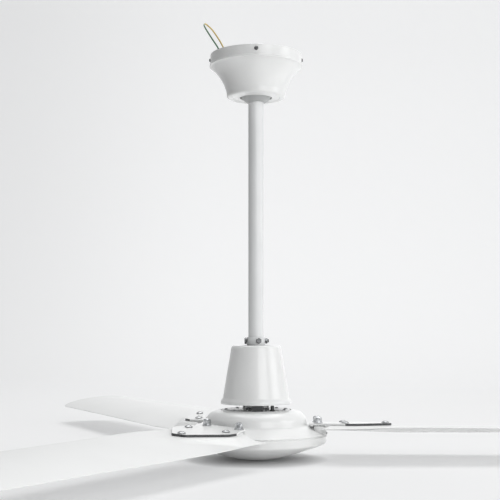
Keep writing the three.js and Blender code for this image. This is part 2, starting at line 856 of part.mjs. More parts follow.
function makeBottomShell() {
  const domeMiddle = (domeFlat + domeEdge) / 2;
  const dome = curvePoints([
    [domeFlat, 0],
    [domeMiddle / 2, domeHeight * 0.06],
    [domeMiddle, domeHeight * 0.33],
    [(domeMiddle + domeEdge) / 2, domeHeight * 0.65],
    [domeEdge, domeHeight],
    [motorRadius - 1.6, domeHeight + 2.4],
    [motorRadius, cornerHeight],
  ], 7);
  const outer = [...dome, [motorRadius, motorSplit - 0.8]];
  const split = motorSplit - seatGap / 2;
  const inner = offsetOutline(outer, shellWall);
  const hubBore = bearingOuter + seatGap;
  const hubOuter = hubBore + hubWall;
  const hubTop = lowerBearing + bearingWidth;
  const floor = lowerBearing - seatGap;
  const profile = [
    [0, 0],
    ...outer,
    [motorRadius - 0.6, split],
    [motorRadius - shellWall, split],
    ...inner.filter(([r, z]) => r > hubOuter + 2 && z < split - 1).reverse(),
    [hubOuter, shellWall + 0.6],
    [hubOuter, hubTop],
    [hubBore, hubTop],
    [hubBore, floor],
    [shaftRadius + spinGap, floor],
    [shaftRadius + spinGap, floor - 2.6],
    [0, floor - 2.6],
  ];
  return revolve(profile.map(([r, z]) => [r, motorZ(z)]), fineSides);
}

// ---- Blades ----

function bladeTurns() {
  return Array.from({ length: bladeCount }, (_, i) => turnZ(restTurn + (i * 2 * Math.PI) / bladeCount));
}

// A place on the underside of an iron, upright and square to it.
function ironFrame(turn, reach, side) {
  const height = motorZ(ironSeat + ironPitch * side);
  const upright = chain(turn, place(reach, -side, height));
  return { height, upright, square: chain(upright, turnX(-Math.atan(ironPitch))) };
}

function ironBoltFrames(turns = bladeTurns()) {
  return turns.flatMap((turn) => [1, -1].map((side) => ironFrame(turn, ironBoltReach, side * ironBoltSide)));
}

function ironHalf(reach) {
  const { mapLinear } = THREE.MathUtils;
  const flare = mapLinear(reach, ironNeckEnd, ironWideStart, ironNeckHalf, ironWideHalf);
  const taper = mapLinear(reach, ironTaperStart, ironEnd, ironWideHalf, ironEndHalf);
  return Math.max(Math.min(Math.max(flare, ironNeckHalf), ironWideHalf, taper), ironEndHalf);
}

// Height of the blade's middle: flat and close under the iron, pitched and cambered beyond it.
function bladeHeight(reach, side) {
  const pad = ironSeat + ironPitch * side - seatGap - bladeSheet / 2;
  const pitch = THREE.MathUtils.lerp(
    rootPitch, bladePitch, THREE.MathUtils.smoothstep(reach, rootArc, pitchReach),
  );
  const open = bladeLift + pitch * side - bladeCamber * (side / bladeHalf(reach)) ** 2;
  const beyondEnd = Math.max(reach - ironEnd, 0);
  const beside = Math.max(Math.abs(side) - ironHalf(reach), 0);
  const share = THREE.MathUtils.smoothstep(Math.hypot(beyondEnd, beside), padEdge, padBlend);
  return motorZ(THREE.MathUtils.lerp(pad, open, share));
}

function bladeHalf(reach) {
  const middle = (rootArc + bladeTip) / 2;
  const straight = reach < middle
    ? THREE.MathUtils.mapLinear(reach, rootArc, middle, rootHalf, midHalf)
    : THREE.MathUtils.mapLinear(reach, middle, bladeTip, midHalf, tipHalf);
  const into = THREE.MathUtils.clamp(tipCorner - (bladeTip - reach), 0, tipCorner);
  return straight - tipCorner + Math.sqrt(tipCorner ** 2 - into ** 2);
}

function bladeMiddle(along, across) {
  const rootReach = Math.sqrt(rootArc ** 2 - (rootHalf * across) ** 2);
  const reach = THREE.MathUtils.lerp(rootReach, bladeTip, along);
  const side = bladeHalf(reach) * across;
  return [reach, -side, bladeHeight(reach, side)];
}

function bladeScrewHoles() {
  const still = new THREE.Matrix4();
  return bladeScrewSpots.map(([reach, side]) => cylinder(
    bladeScrewRadius + seatGap, -4, 8, screwSides, ironFrame(still, reach, side).square,
  ));
}

function makeBlade() {
  const rounding = tipCorner / (bladeTip - rootArc);
  const tipSteps = [1, 0.55, 0.25, 0.07, 0].map((share) => 1 - rounding * share);
  const steps = [0, 0.025, 0.05, 0.09, 0.13, 0.17, 0.22, 0.42, 0.68, ...tipSteps];
  return cut(curvedSheet(steps, 8, bladeMiddle, bladeSheet), ...bladeScrewHoles());
}

// The flat plate that carries a blade, a little pitched on its two bosses.
function makeIron() {
  const side = [
    [ironStart, ironNeckHalf],
    [ironNeckEnd, ironNeckHalf],
    [ironWideStart, ironWideHalf],
    [ironTaperStart, ironWideHalf],
    [ironEnd, ironEndHalf],
  ];
  const outline = [...side.map(([x, y]) => [x, -y]), ...side.reverse()];
  const settings = { depth: ironSheet, bevelEnabled: false, curveSegments: 3 };
  const flat = new THREE.ExtrudeGeometry(roundedShape(outline, ironCorner), settings);
  const still = new THREE.Matrix4();
  const boltHoles = ironBoltFrames([still]).map((spot) => cylinder(
    ironBoltRadius + seatGap, -1, ironSheet + 1, smallSides, spot.square,
  ));
  return cut(solidOf(flat, ironFrame(still, 0, 0).square), ...boltHoles, ...bladeScrewHoles());
}

// Washer, hex head and shank in one.
function makeIronBolt(spot) {
  const seat = ironSheet + seatGap;
  const headFoot = seat + ironWasherHeight;
  const headTop = headFoot + ironHeadHeight;
  return join(
    cylinder(ironBoltRadius, -ironBoltDepth, headFoot, screwSides, spot.square),
    cylinder(ironWasherRadius, seat, headFoot, smallSides, spot.square),
    cylinder(ironHeadRadius, headFoot - 0.5, headTop, 6, spot.square),
    revolve([
      [0, headTop - 0.5],
      [ironHeadRadius * 0.78, headTop - 0.5],
      [ironHeadRadius * 0.7, headTop + 0.8],
      [0, headTop + 1.2],
    ], screwSides, spot.square),
  );
}

function makeBladeScrew(spot) {
  const under = ironSheet + seatGap;
  const nutTop = -2 * seatGap - bladeSheet;
  const profile = [
    [0, nutTop - 4.4],
    [bladeScrewRadius, nutTop - 4.4],
    [bladeScrewRadius, nutTop - 2.6],
    [bladeScrewNut, nutTop - 2.6],
    [bladeScrewNut, nutTop],
    [bladeScrewRadius, nutTop],
    [bladeScrewRadius, under],
    [bladeScrewHead, under],
    [bladeScrewHead * 0.75, under + bladeScrewDome * 0.7],
    [0, under + bladeScrewDome],
  ];
  return revolve(profile, screwSides, spot.square);
}

// ---- Assembly ----

addPiece('hanger_bracket', makeBracket(), steel);
addPiece('ball_seat', makeBallSeat(), blackPlastic);
addPiece('canopy', makeCanopy(), paint);
aroundFour((turn) => makeCanopyScrew(turn))
  .forEach((screw, i) => addPiece(`canopy_screw_${i + 1}`, screw, darkSteel));
addPiece('wire_connector', makeConnector(), blackPlastic);
addPiece('earth_wire', makeEarthWire(), earthGreen);

addPiece('ball_pin', makeBallPin(), steel);
addPiece('hanger_ball', makeBall(), greyPlastic);
addPiece('downrod', makeRod(), paint);
addPiece('coupling', makeCoupling(), paint);
addPiece('cross_bolt', makeCrossBolt(), steel);
addPiece('cross_nut', makeCrossNut(), steel);
addPiece('lock_screw', makeLockScrew(), steel);
addPiece('shaft', makeShaft(), steel);
addPiece('top_plate', makeTopPlate(), paint);
addPiece('terminal_block', makeTerminalBlock(), blackPlastic);
addPiece('lead_grommet', makeGrommet(), blackPlastic);
addPiece('capacitor', makeCapacitor(), blackPlastic);
addPiece('stator_core', makeStatorCore(), darkSteel);
addPiece('winding_upper', makeWinding(motorZ(stackBottom + stackHeight + seatGap), upperWinding), copper);
addPiece('winding_lower', makeWinding(motorZ(stackBottom - seatGap - lowerWinding), lowerWinding), copper);

addPiece('coupling_cover', makeCover(), paint);

addPiece('motor_top_shell', makeTopShell(), paint);
addPiece('motor_bottom_shell', makeBottomShell(), paint);
addPiece('rotor_ring', makeRotorRing(), darkSteel);
addPiece('upper_bearing', makeBearing(upperBearing), steel);
addPiece('lower_bearing', makeBearing(lowerBearing), steel);
bladeTurns().forEach((turn, i) => {
  addPiece(`blade_${i + 1}`, solidMoved(makeBlade(), turn), paint);
  addPiece(`blade_iron_${i + 1}`, solidMoved(makeIron(), turn), paint);
  ironBoltFrames([turn]).forEach((spot, j) => {
    addPiece(`iron_bolt_${i + 1}_${j + 1}`, makeIronBolt(spot), steel);
  });
  bladeScrewSpots.forEach(([reach, side], j) => {
    addPiece(`blade_screw_${i + 1}_${j + 1}`, makeBladeScrew(ironFrame(turn, reach, side)), steel);
  });
});

export default fan;
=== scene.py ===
import math

import bmesh
import bpy
from mathutils import Matrix, Vector


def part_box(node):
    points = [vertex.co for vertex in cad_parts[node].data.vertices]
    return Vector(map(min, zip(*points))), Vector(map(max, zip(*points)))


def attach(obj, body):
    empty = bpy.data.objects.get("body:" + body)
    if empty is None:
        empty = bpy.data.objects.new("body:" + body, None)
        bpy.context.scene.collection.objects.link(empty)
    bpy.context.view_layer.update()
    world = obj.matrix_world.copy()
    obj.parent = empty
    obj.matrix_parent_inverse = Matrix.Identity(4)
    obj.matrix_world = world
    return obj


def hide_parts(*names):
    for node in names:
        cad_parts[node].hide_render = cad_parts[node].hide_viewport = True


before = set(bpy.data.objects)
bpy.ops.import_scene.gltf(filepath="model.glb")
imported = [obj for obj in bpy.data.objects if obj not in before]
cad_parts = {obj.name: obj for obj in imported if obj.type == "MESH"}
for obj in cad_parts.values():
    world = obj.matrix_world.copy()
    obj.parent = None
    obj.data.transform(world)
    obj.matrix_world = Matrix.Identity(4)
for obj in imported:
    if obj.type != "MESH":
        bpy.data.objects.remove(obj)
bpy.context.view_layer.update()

mm = 0.001
floorLevel = -580.0  # mm, where the motor stands
gap = 0.3  # mm, between pieces that sit on each other
through = 30.0  # mm, reach of a cut that goes right through

# Camera.

camera = {
    "across": -8.6,  # mm
    "distance": 1495.0,
    "height": 185.0,  # over the floor
    "lens": 75.0,
    "sensor": 36.0,
    "rise": 0.16,  # shift that keeps the rod upright in the picture
    "nearest": 0.05,  # m
    "farthest": 30.0,
}

scene = bpy.context.scene
scene.view_settings.view_transform = "Standard"
cameraData = bpy.data.cameras.new("camera")
cameraData.lens = camera["lens"]
cameraData.sensor_width = camera["sensor"]
cameraData.shift_y = camera["rise"]
cameraData.clip_start = camera["nearest"]
cameraData.clip_end = camera["farthest"]
cameraObject = bpy.data.objects.new("camera", cameraData)
scene.collection.objects.link(cameraObject)
cameraHeight = floorLevel + camera["height"]
cameraObject.location = (camera["across"] * mm, -camera["distance"] * mm, cameraHeight * mm)
cameraObject.rotation_euler = (math.pi / 2, 0.0, 0.0)
scene.camera = cameraObject


# Mesh helpers; lengths in mm until meshOf.

def meshOf(name, data):
    mesh = bpy.data.meshes.new(name)
    mesh.from_pydata([tuple(c * mm for c in v) for v in data[0]], [], data[1])
    shape = bmesh.new()
    shape.from_mesh(mesh)
    bmesh.ops.recalc_face_normals(shape, faces=shape.faces)
    shape.to_mesh(mesh)
    shape.free()
    return mesh


# Data is (verts, faces) or (verts, faces, marks); a mark picks the face's finish. Sharp is in degrees.
def addPiece(name, data, body, nodes, finishes, sharp=32.0):
    mesh = meshOf(name, data)
    if len(data) > 2:
        mesh.polygons.foreach_set("material_index", data[2])
    for finishName in finishes:
        mesh.materials.append(finish[finishName])
    mesh.polygons.foreach_set("use_smooth", [True] * len(mesh.polygons))
    mesh.set_sharp_from_angle(angle=math.radians(sharp))
    piece = bpy.data.objects.new(name, mesh)
    scene.collection.objects.link(piece)
    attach(piece, body)
    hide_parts(*nodes)
    return piece


def moved(data, matrix):
    verts = [tuple(matrix @ Vector(v)) for v in data[0]]
    return (verts, data[1], *data[2:])


def together(*parts):
    verts, faces, marks = [], [], []
    for part in parts:
        start = len(verts)
        verts += list(part[0])
        faces += [tuple(i + start for i in face) for face in part[1]]
        marks += list(part[2]) if len(part) > 2 else [0] * len(part[1])
    return verts, faces, marks


def marked(data, mark):
    return data[0], data[1], [mark] * len(data[1])


# Rounds the corners of a profile of (r, z) or (r, z, radius).
def rounded(points, steps, closed=True):
    result = []
    count = len(points)
    for i, point in enumerate(points):
        here = Vector(point[:2])
        radius = point[2] if len(point) > 2 else 0.0
        if radius <= 0 or (not closed and i in (0, count - 1)):
            result.append(tuple(here))
            continue
        before = Vector(points[i - 1][:2])
        after = Vector(points[(i + 1) % count][:2])
        back = (before - here).normalized()
        ahead = (after - here).normalized()
        corner = math.acos(max(-1.0, min(1.0, back.dot(ahead))))
        reach = radius / math.tan(corner / 2)
        reach = min(reach, (before - here).length * 0.49, (after - here).length * 0.49)
        start = here + back * reach
        end = here + ahead * reach
        for k in range(steps + 1):
            t = k / steps
            result.append(tuple(start * (1 - t) ** 2 + here * 2 * t * (1 - t) + end * t ** 2))
    return result


def circle(r, z, sides):
    turns = [2 * math.pi * k / sides for k in range(sides)]
    return [(r * math.cos(turn), r * math.sin(turn), z) for turn in turns]


def lathe(profile, sides, matrix=Matrix.Identity(4)):
    verts, faces, rings = [], [], []
    for r, z in profile:
        if r < 1e-6:
            rings.append([len(verts)])
            verts.append((0.0, 0.0, z))
        else:
            rings.append(list(range(len(verts), len(verts) + sides)))
            verts += circle(r, z, sides)
    for i, low in enumerate(rings):
        high = rings[(i + 1) % len(rings)]
        if len(low) == 1 and len(high) == 1:
            continue
        for k in range(sides):
            after = (k + 1) % sides
            if len(low) == 1:
                faces.append((low[0], high[k], high[after]))
            elif len(high) == 1:
                faces.append((low[k], high[0], low[after]))
            else:
                faces.append((low[k], high[k], high[after], low[after]))
    return moved((verts, faces), matrix)


# Faces between rings of points that follow each other.
def bands(rings, sides):
    faces = []
    for i in range(rings - 1):
        low, high = i * sides, (i + 1) * sides
        for k in range(sides):
            after = (k + 1) % sides
            faces.append((low + k, low + after, high + after, high + k))
    return faces


# A round bar along local Z.
def bar(radius, start, end, matrix, sides=32):
    return lathe([(0, start), (radius, start), (radius, end), (0, end)], sides, matrix)


# Line of the other face of a sheet: each point steps sideways by thickness.
def offsetLine(line, thickness):
    result = []
    for i, point in enumerate(line):
        before = Vector(line[max(i - 1, 0)])
        after = Vector(line[min(i + 1, len(line) - 1)])
        along = (after - before).normalized()
        side = Vector((along.y, -along.x))
        result.append(tuple(Vector(point) + side * thickness))
    return result


def sheetProfile(line, thickness):
    return list(line) + offsetLine(line, thickness)[::-1]


# A flat plate with softened edges; its faces round the rim get the mark rimMark.
def plate(outline, thickness, bevel, rimMark=0, matrix=Matrix.Identity(4)):
    count = len(outline)

    def inset(amount):
        result = []
        for i in range(count):
            here = Vector(outline[i])
            before = (here - Vector(outline[i - 1])).normalized()
            after = (Vector(outline[(i + 1) % count]) - here).normalized()
            inward = Vector((-(before + after).y, (before + after).x)).normalized()
            result.append(here + inward * amount)
        return result

    area = sum(
        outline[i - 1][0] * outline[i][1] - outline[i][0] * outline[i - 1][1]
        for i in range(count)
    )
    if area < 0:
        outline = list(outline)[::-1]
    layers = [(bevel, 0.0), (0.0, bevel), (0.0, thickness - bevel), (bevel, thickness)]
    verts = []
    for amount, z in layers:
        verts += [(p.x, p.y, z) for p in inset(amount)]
    faces = bands(len(layers), count)
    marks = [rimMark] * len(faces) + [0, 0]
    faces += [tuple(range(count))[::-1], tuple(range(len(verts) - count, len(verts)))]
    return moved((verts, faces, marks), matrix)


headEdge = 0.25  # mm, softening of the edge under a head
hexFlat = 0.84  # a hexagon head's flat top against its corners


def hexHead(radius, height, chamfer, matrix):
    rings = [(radius - headEdge, 0.0), (radius, headEdge)]
    rings += [(radius, height - chamfer), (radius * hexFlat, height)]
    verts = [spot for r, z in rings for spot in circle(r, z, 6)]
    faces = [(5, 4, 3, 2, 1, 0), (18, 19, 20, 21, 22, 23), *bands(len(rings), 6)]
    return moved((verts, faces), matrix)


# A domed head with a cross pressed into it, on a short shank; the axis is local Z.
def crossScrew(size, matrix):
    radius, dome, shank = size["head"], size["dome"], size["shank"]
    steps, sides = 14, 40
    rimDrop = 0.72  # how much of the dome's height is gone at its rim
    slotHalf, slotReach, slotDepth = radius * 0.13, radius * 0.56, dome * 0.62
    verts, faces = [(0.0, 0.0, dome - slotDepth)], []
    for i in range(1, steps + 1):
        r = radius * i / steps
        fall = (i / steps) ** 2
        z = dome * (1 - fall * rimDrop)
        for x, y, _ in circle(r, z, sides):
            inCross = min(abs(x), abs(y)) < slotHalf and max(abs(x), abs(y)) < slotReach
            verts.append((x, y, z - slotDepth * (1 - r / radius) if inCross else z))
    lower = [(radius, headEdge), (radius - headEdge, 0.0), (shank, 0.0), (shank, size["end"])]
    for r, z in lower:
        verts += circle(r, z, sides)
    rings = steps + len(lower)
    for k in range(sides):
        faces.append((0, 1 + k, 1 + (k + 1) % sides))
    for i in range(rings - 1):
        for k in range(sides):
            after = (k + 1) % sides
            low, high = 1 + i * sides, 1 + (i + 1) * sides
            faces.append((low + k, high + k, high + after, low + after))
    last = 1 + (rings - 1) * sides
    faces.append(tuple(range(last, last + sides)))
    return moved((verts, faces), matrix)


# Cuts helper meshes out of a piece for good.
def carve(piece, *cutters):
    tools = []
    for data in cutters:
        tool = bpy.data.objects.new("cutter", meshOf("cutter", data))
        scene.collection.objects.link(tool)
        step = piece.modifiers.new("cut", "BOOLEAN")
        step.operation = "DIFFERENCE"
        step.solver = "EXACT"
        step.object = tool
        tools.append(tool)
    graph = bpy.context.evaluated_depsgraph_get()
    mesh = bpy.data.meshes.new_from_object(piece.evaluated_get(graph))
    piece.modifiers.clear()
    old = piece.data
    piece.data = mesh
    bpy.data.meshes.remove(old)
    for tool in tools:
        bpy.data.meshes.remove(tool.data)  # takes the object with it


def turnAbout(axis, angle):
    return Matrix.Rotation(angle, 4, axis)


def shift(x, y, z):
    return Matrix.Translation((x, y, z))


def lift(z):
    return shift(0, 0, z)


toSide = turnAbout("Y", math.pi / 2)
toFront = turnAbout("X", math.pi / 2)
upsideDown = turnAbout("X", math.pi)


def linear(value, low, high, first, last):
    return first + (last - first) * (value - low) / (high - low)


def smoothStep(value, low, high):
    t = max(0.0, min(1.0, (value - low) / (high - low)))
    return t * t * (3 - 2 * t)


# Height over the motor's underside to the frame.
def motorZ(height):
    return floorLevel + height


# Materials.

def newMaterial(name):
    material = bpy.data.materials.new(name)
    material.use_nodes = True
    nodes = material.node_tree.nodes
    shader = nodes["Principled BSDF"]
    return material, nodes, material.node_tree.links, shader


def setInputs(node, values):
    for name, value in values.items():
        node.inputs[name].default_value = value


def noiseNode(nodes, links, scale, detail):
    place = nodes.new("ShaderNodeTexCoord")
    noise = nodes.new("ShaderNodeTexNoise")
    setInputs(noise, {"Scale": scale, "Detail": detail})
    links.new(place.outputs["Object"], noise.inputs["Vector"])
    return noise


# Maps low..high of the source to first..last, each a number or another node's output.
def mapped(nodes, links, source, low, high, first, last, curve="LINEAR"):
    node = nodes.new("ShaderNodeMapRange")
    node.interpolation_type = curve
    setInputs(node, {"From Min": low, "From Max": high})
    for name, end in (("To Min", first), ("To Max", last)):
        if isinstance(end, float):
            node.inputs[name].default_value = end
        else:
            links.new(end, node.inputs[name])
    links.new(source, node.inputs["Value"])
    return node.outputs["Result"]


def combined(nodes, links, operation, first, second):
    node = nodes.new("ShaderNodeMath")
    node.operation = operation
    links.new(first, node.inputs[0])
    links.new(second, node.inputs[1])
    return node.outputs["Value"]


noiseRange = (0.3, 0.7)  # where most values of a noise lie


def shaded(nodes, links, source, dark, light, between=noiseRange):
    ramp = nodes.new("ShaderNodeValToRGB")
    for element, position, colour in zip(ramp.color_ramp.elements, between, (dark, light)):
        element.position = position
        element.color = (*colour, 1.0)
    links.new(source, ramp.inputs["Fac"])
    return ramp.outputs["Color"]


def bumped(nodes, links, shader, source, strength, depth):
    bump = nodes.new("ShaderNodeBump")
    setInputs(bump, {"Strength": strength, "Distance": depth})
    links.new(source, bump.inputs["Height"])
    links.new(bump.outputs["Normal"], shader.inputs["Normal"])


# A painted, moulded or metal surface: cloudy colour, uneven gloss and a fine grain.
def makeSurface(name, look):
    material, nodes, links, shader = newMaterial(name)
    clouds = noiseNode(nodes, links, look.get("cloud", 18.0), 3.0)
    grain = noiseNode(nodes, links, look["grain"], 2.0)
    tint = shaded(nodes, links, clouds.outputs["Fac"], look["dark"], look["light"])
    links.new(tint, shader.inputs["Base Color"])
    gloss = mapped(nodes, links, clouds.outputs["Fac"], *noiseRange, look["smooth"], look["rough"])
    links.new(gloss, shader.inputs["Roughness"])
    setInputs(shader, {
        "Metallic": look.get("metal", 0.0), "Coat Weight": look.get("coat", 0.0), "Coat Roughness": 0.12,
    })
    bumped(nodes, links, shader, grain.outputs["Fac"], look["relief"], 0.00005)
    return material


surfaces = {
    "whiteEnamel": {
        "dark": (0.765, 0.770, 0.765), "light": (0.805, 0.810, 0.805),
        "smooth": 0.30, "rough": 0.36, "coat": 0.35, "grain": 650.0, "relief": 0.06,
    },
    "rodEnamel": {
        "dark": (0.720, 0.730, 0.732), "light": (0.760, 0.768, 0.770),
        "smooth": 0.34, "rough": 0.42, "coat": 0.25, "grain": 520.0, "relief": 0.08,
    },
    "bladePaint": {
        "dark": (0.765, 0.770, 0.765), "light": (0.800, 0.805, 0.800),
        "smooth": 0.42, "rough": 0.50, "coat": 0.15, "cloud": 9.0, "grain": 420.0, "relief": 0.10,
    },
    "zincPlate": {
        "dark": (0.26, 0.27, 0.28), "light": (0.42, 0.43, 0.44),
        "smooth": 0.38, "rough": 0.56, "metal": 0.92, "cloud": 90.0, "grain": 1600.0, "relief": 0.2,
    },
    "brightScrew": {
        "dark": (0.26, 0.27, 0.28), "light": (0.68, 0.69, 0.70),
        "smooth": 0.14, "rough": 0.28, "metal": 0.95, "cloud": 240.0, "grain": 2400.0, "relief": 0.2,
    },
    "dullScrew": {
        "dark": (0.16, 0.165, 0.17), "light": (0.46, 0.465, 0.47),
        "smooth": 0.26, "rough": 0.44, "metal": 0.95, "cloud": 260.0, "grain": 2400.0, "relief": 0.2,
    },
    "darkScrew": {
        "dark": (0.07, 0.072, 0.075), "light": (0.17, 0.172, 0.176),
        "smooth": 0.30, "rough": 0.45, "metal": 0.85, "cloud": 200.0, "grain": 2200.0, "relief": 0.2,
    },
    # Painted shade: the irons' edges are near black where shade lies along the plate's thickness.
    "shadedIronEdge": {
        "dark": (0.035, 0.036, 0.038), "light": (0.11, 0.112, 0.116),
        "smooth": 0.35, "rough": 0.6, "metal": 0.6, "cloud": 420.0, "grain": 2600.0, "relief": 0.5,
    },
    "ironPaint": {
        "dark": (0.760, 0.765, 0.760), "light": (0.800, 0.805, 0.800),
        "smooth": 0.34, "rough": 0.46, "coat": 0.2, "grain": 700.0, "relief": 0.12,
    },
    "greyNylon": {
        "dark": (0.40, 0.41, 0.41), "light": (0.47, 0.475, 0.475),
        "smooth": 0.45, "rough": 0.6, "grain": 1300.0, "relief": 0.22,
    },
    "blackPlastic": {
        "dark": (0.016, 0.017, 0.018), "light": (0.034, 0.035, 0.037),
        "smooth": 0.40, "rough": 0.58, "grain": 1500.0, "relief": 0.3,
    },
    "palePlastic": {
        "dark": (0.56, 0.56, 0.54), "light": (0.64, 0.64, 0.62),
        "smooth": 0.40, "rough": 0.55, "grain": 1300.0, "relief": 0.2,
    },
    "copperWire": {
        "dark": (0.50, 0.22, 0.10), "light": (0.72, 0.36, 0.20),
        "smooth": 0.25, "rough": 0.4, "metal": 0.95, "cloud": 60.0, "grain": 1100.0, "relief": 0.5,
    },
}
finish = {name: makeSurface(name, look) for name, look in surfaces.items()}


# Sheet iron in a stack, its edges showing as fine rings.
def makeLaminated():
    material, nodes, links, shader = newMaterial("laminatedIron")
    place = nodes.new("ShaderNodeTexCoord")
    wave = nodes.new("ShaderNodeTexWave")
    wave.bands_direction = "Z"
    setInputs(wave, {"Scale": 320.0, "Distortion": 0.4})
    links.new(place.outputs["Object"], wave.inputs["Vector"])
    tint = shaded(nodes, links, wave.outputs["Fac"], (0.09, 0.09, 0.095), (0.26, 0.26, 0.27))
    links.new(tint, shader.inputs["Base Color"])
    setInputs(shader, {"Metallic": 0.85, "Roughness": 0.45})
    bumped(nodes, links, shader, wave.outputs["Fac"], 0.4, 0.0002)
    return material


finish["laminatedIron"] = makeLaminated()


# Green with a yellow stripe, which lies where the mesh's stripe values are high.
def makeSheath():
    material, nodes, links, shader = newMaterial("wireSheath")
    stripe = nodes.new("ShaderNodeAttribute")
    stripe.attribute_name = "stripe"
    green, yellow = (0.060, 0.150, 0.075), (0.60, 0.45, 0.16)
    sheath = shaded(nodes, links, stripe.outputs["Fac"], green, yellow, (0.47, 0.53))
    clouds = noiseNode(nodes, links, 260.0, 3.0)
    wear = shaded(nodes, links, clouds.outputs["Fac"], (0.72, 0.72, 0.72), (1, 1, 1))
    blend = nodes.new("ShaderNodeMixRGB")
    blend.blend_type = "MULTIPLY"
    blend.inputs["Fac"].default_value = 0.35
    links.new(sheath, blend.inputs["Color1"])
    links.new(wear, blend.inputs["Color2"])
    links.new(blend.outputs["Color"], shader.inputs["Base Color"])
    shader.inputs["Roughness"].default_value = 0.38
    bumped(nodes, links, shader, clouds.outputs["Fac"], 0.15, 0.0001)
    return material


finish["wireSheath"] = makeSheath()
print("materials made")


# Earth wire.

earthWire = {
    "radius": 1.2,
    "sheath": 1.06,  # drawn radius, inside the faceted solid
    "twistStart": 0.34,  # the stripe comes round to the front
    "twistEnd": 0.56,  # between these shares of the length
    "route": [  # mm, the same route as the CAD solid
        (-45.5, -12.3, -15.7), (-46.3, -12.6, -11.5), (-50.3, -12.8, -2), (-54.5, -12.8, 7),
        (-61.3, -12.3, 17.5), (-67.2, -10.8, 27), (-71.9, -8, 35.3), (-74.2, -4, 41.3),
        (-73, 0.5, 44.6), (-68.7, 5, 42.6), (-63.8, 8, 38.8), (-59, 10.3, 33),
        (-53, 12, 24.3), (-48, 13, 15.5), (-43.8, 13.3, 5), (-40.8, 13, -5),
        (-39.8, 12.7, -11.5), (-39.5, 12.3, -15.7),
    ],
}


# Points along a smooth line through the route, the way three.js lays it.
def smoothLine(points, each=8):
    points = [Vector(p) for p in points]
    first = points[0] * 2 - points[1]
    last = points[-1] * 2 - points[-2]
    padded = [first, *points, last]
    result = []
    for i in range(1, len(padded) - 2):
        p = padded[i - 1:i + 3]
        knots = [0.0]
        for a, b in zip(p, p[1:]):
            knots.append(knots[-1] + (b - a).length ** 0.5)
        for k in range(each):
            t = knots[1] + (knots[2] - knots[1]) * k / each

            def mix(a, b, low, high):
                return a * ((high - t) / (high - low)) + b * ((t - low) / (high - low))

            level1 = [mix(p[j], p[j + 1], knots[j], knots[j + 1]) for j in range(3)]
            level2 = [mix(level1[j], level1[j + 1], knots[j], knots[j + 2]) for j in range(2)]
            result.append(mix(level2[0], level2[1], knots[1], knots[2]))
    result.append(points[-1])
    return result


def makeEarthWire():
    line = smoothLine(earthWire["route"])
    sides = 24
    verts, stripes = [], []
    side = Vector((0, 0, 1)).cross((line[1] - line[0]).normalized()).normalized()
    for i, here in enumerate(line):
        along = (line[min(i + 1, len(line) - 1)] - line[max(i - 1, 0)]).normalized()
        side = (side - along * side.dot(along)).normalized()
        other = along.cross(side)
        front = math.atan2(-other.y, -side.y)
        share = smoothStep(i / (len(line) - 1), earthWire["twistStart"], earthWire["twistEnd"])
        centre = front + math.pi * (1 - share)
        for k in range(sides):
            turn = 2 * math.pi * k / sides
            spot = here + (side * math.cos(turn) + other * math.sin(turn)) * earthWire["sheath"]
            verts.append(tuple(spot))
            stripes.append(0.5 + 0.5 * math.cos(turn - centre))
    faces = bands(len(line), sides)
    faces += [tuple(range(sides))[::-1], tuple(range(len(verts) - sides, len(verts)))]
    piece = addPiece(
        "earthWirePiece", (verts, faces), "ceiling_mount",
        ["earth_wire"], ["wireSheath"], 60.0,
    )
    stripe = piece.data.attributes.new("stripe", "FLOAT", "POINT")
    stripe.data.foreach_set("value", stripes)
    length = sum((b - a).length for a, b in zip(line, line[1:]))
    return length


print("earth wire, mm:", round(makeEarthWire(), 1))


# Ceiling side: canopy and its screws.

canopy = {
    "band": 65.4,  # radius of the straight band
    "bandHeight": 14.0,
    "lip": 1.2,
    "lipHeight": 2.4,
    "sheet": 1.0,
    "top": -2.0,  # height of the rim in the frame
    "depth": 61.0,
    "knee": (47.0, 32.0),  # what the flare bends towards: radius, depth
    "foot": 41.8,
    "footHeight": 6.5,
    "flareSteps": 28,
    "hole": 23.3,
    "screwDrop": -8.0,
    "screwHole": 2.4,
}
canopyScrew = {"head": 2.8, "dome": 1.7, "shank": 2.0, "end": -14.0}


def canopyLine():
    rim = canopy["top"]
    band = canopy["band"]
    bandFoot = rim - canopy["bandHeight"]
    lipFoot = bandFoot - canopy["lipHeight"]
    floor = rim - canopy["depth"]
    start = Vector((band - 1.2, lipFoot - 0.6))
    knee = Vector((canopy["knee"][0], rim - canopy["knee"][1]))
    foot = Vector((canopy["foot"], floor + canopy["footHeight"]))
    flare = []
    for k in range(1, canopy["flareSteps"]):
        t = k / canopy["flareSteps"]
        flare.append(tuple(start * (1 - t) ** 2 + knee * 2 * t * (1 - t) + foot * t ** 2))
    upper = rounded([
        (band, rim), (band, bandFoot + 0.6, 0.8), (band + canopy["lip"], bandFoot - 0.6, 0.9),
        (band + canopy["lip"], lipFoot + 0.3, 0.9), (start.x + 0.2, lipFoot - 0.5, 0.7), flare[0],
    ], 5, False)
    lower = rounded([
        flare[-1], (foot.x - 0.2, floor + 0.5, 5.0),
        (foot.x - 7.0, floor + 0.1, 1.5), (foot.x - 8.6, floor + 1.2, 0.8),
        (canopy["hole"] + 1.5, floor + 1.2, 0.8), (canopy["hole"], floor + 0.4),
    ], 5, False)
    return upper + flare[1:-1] + lower


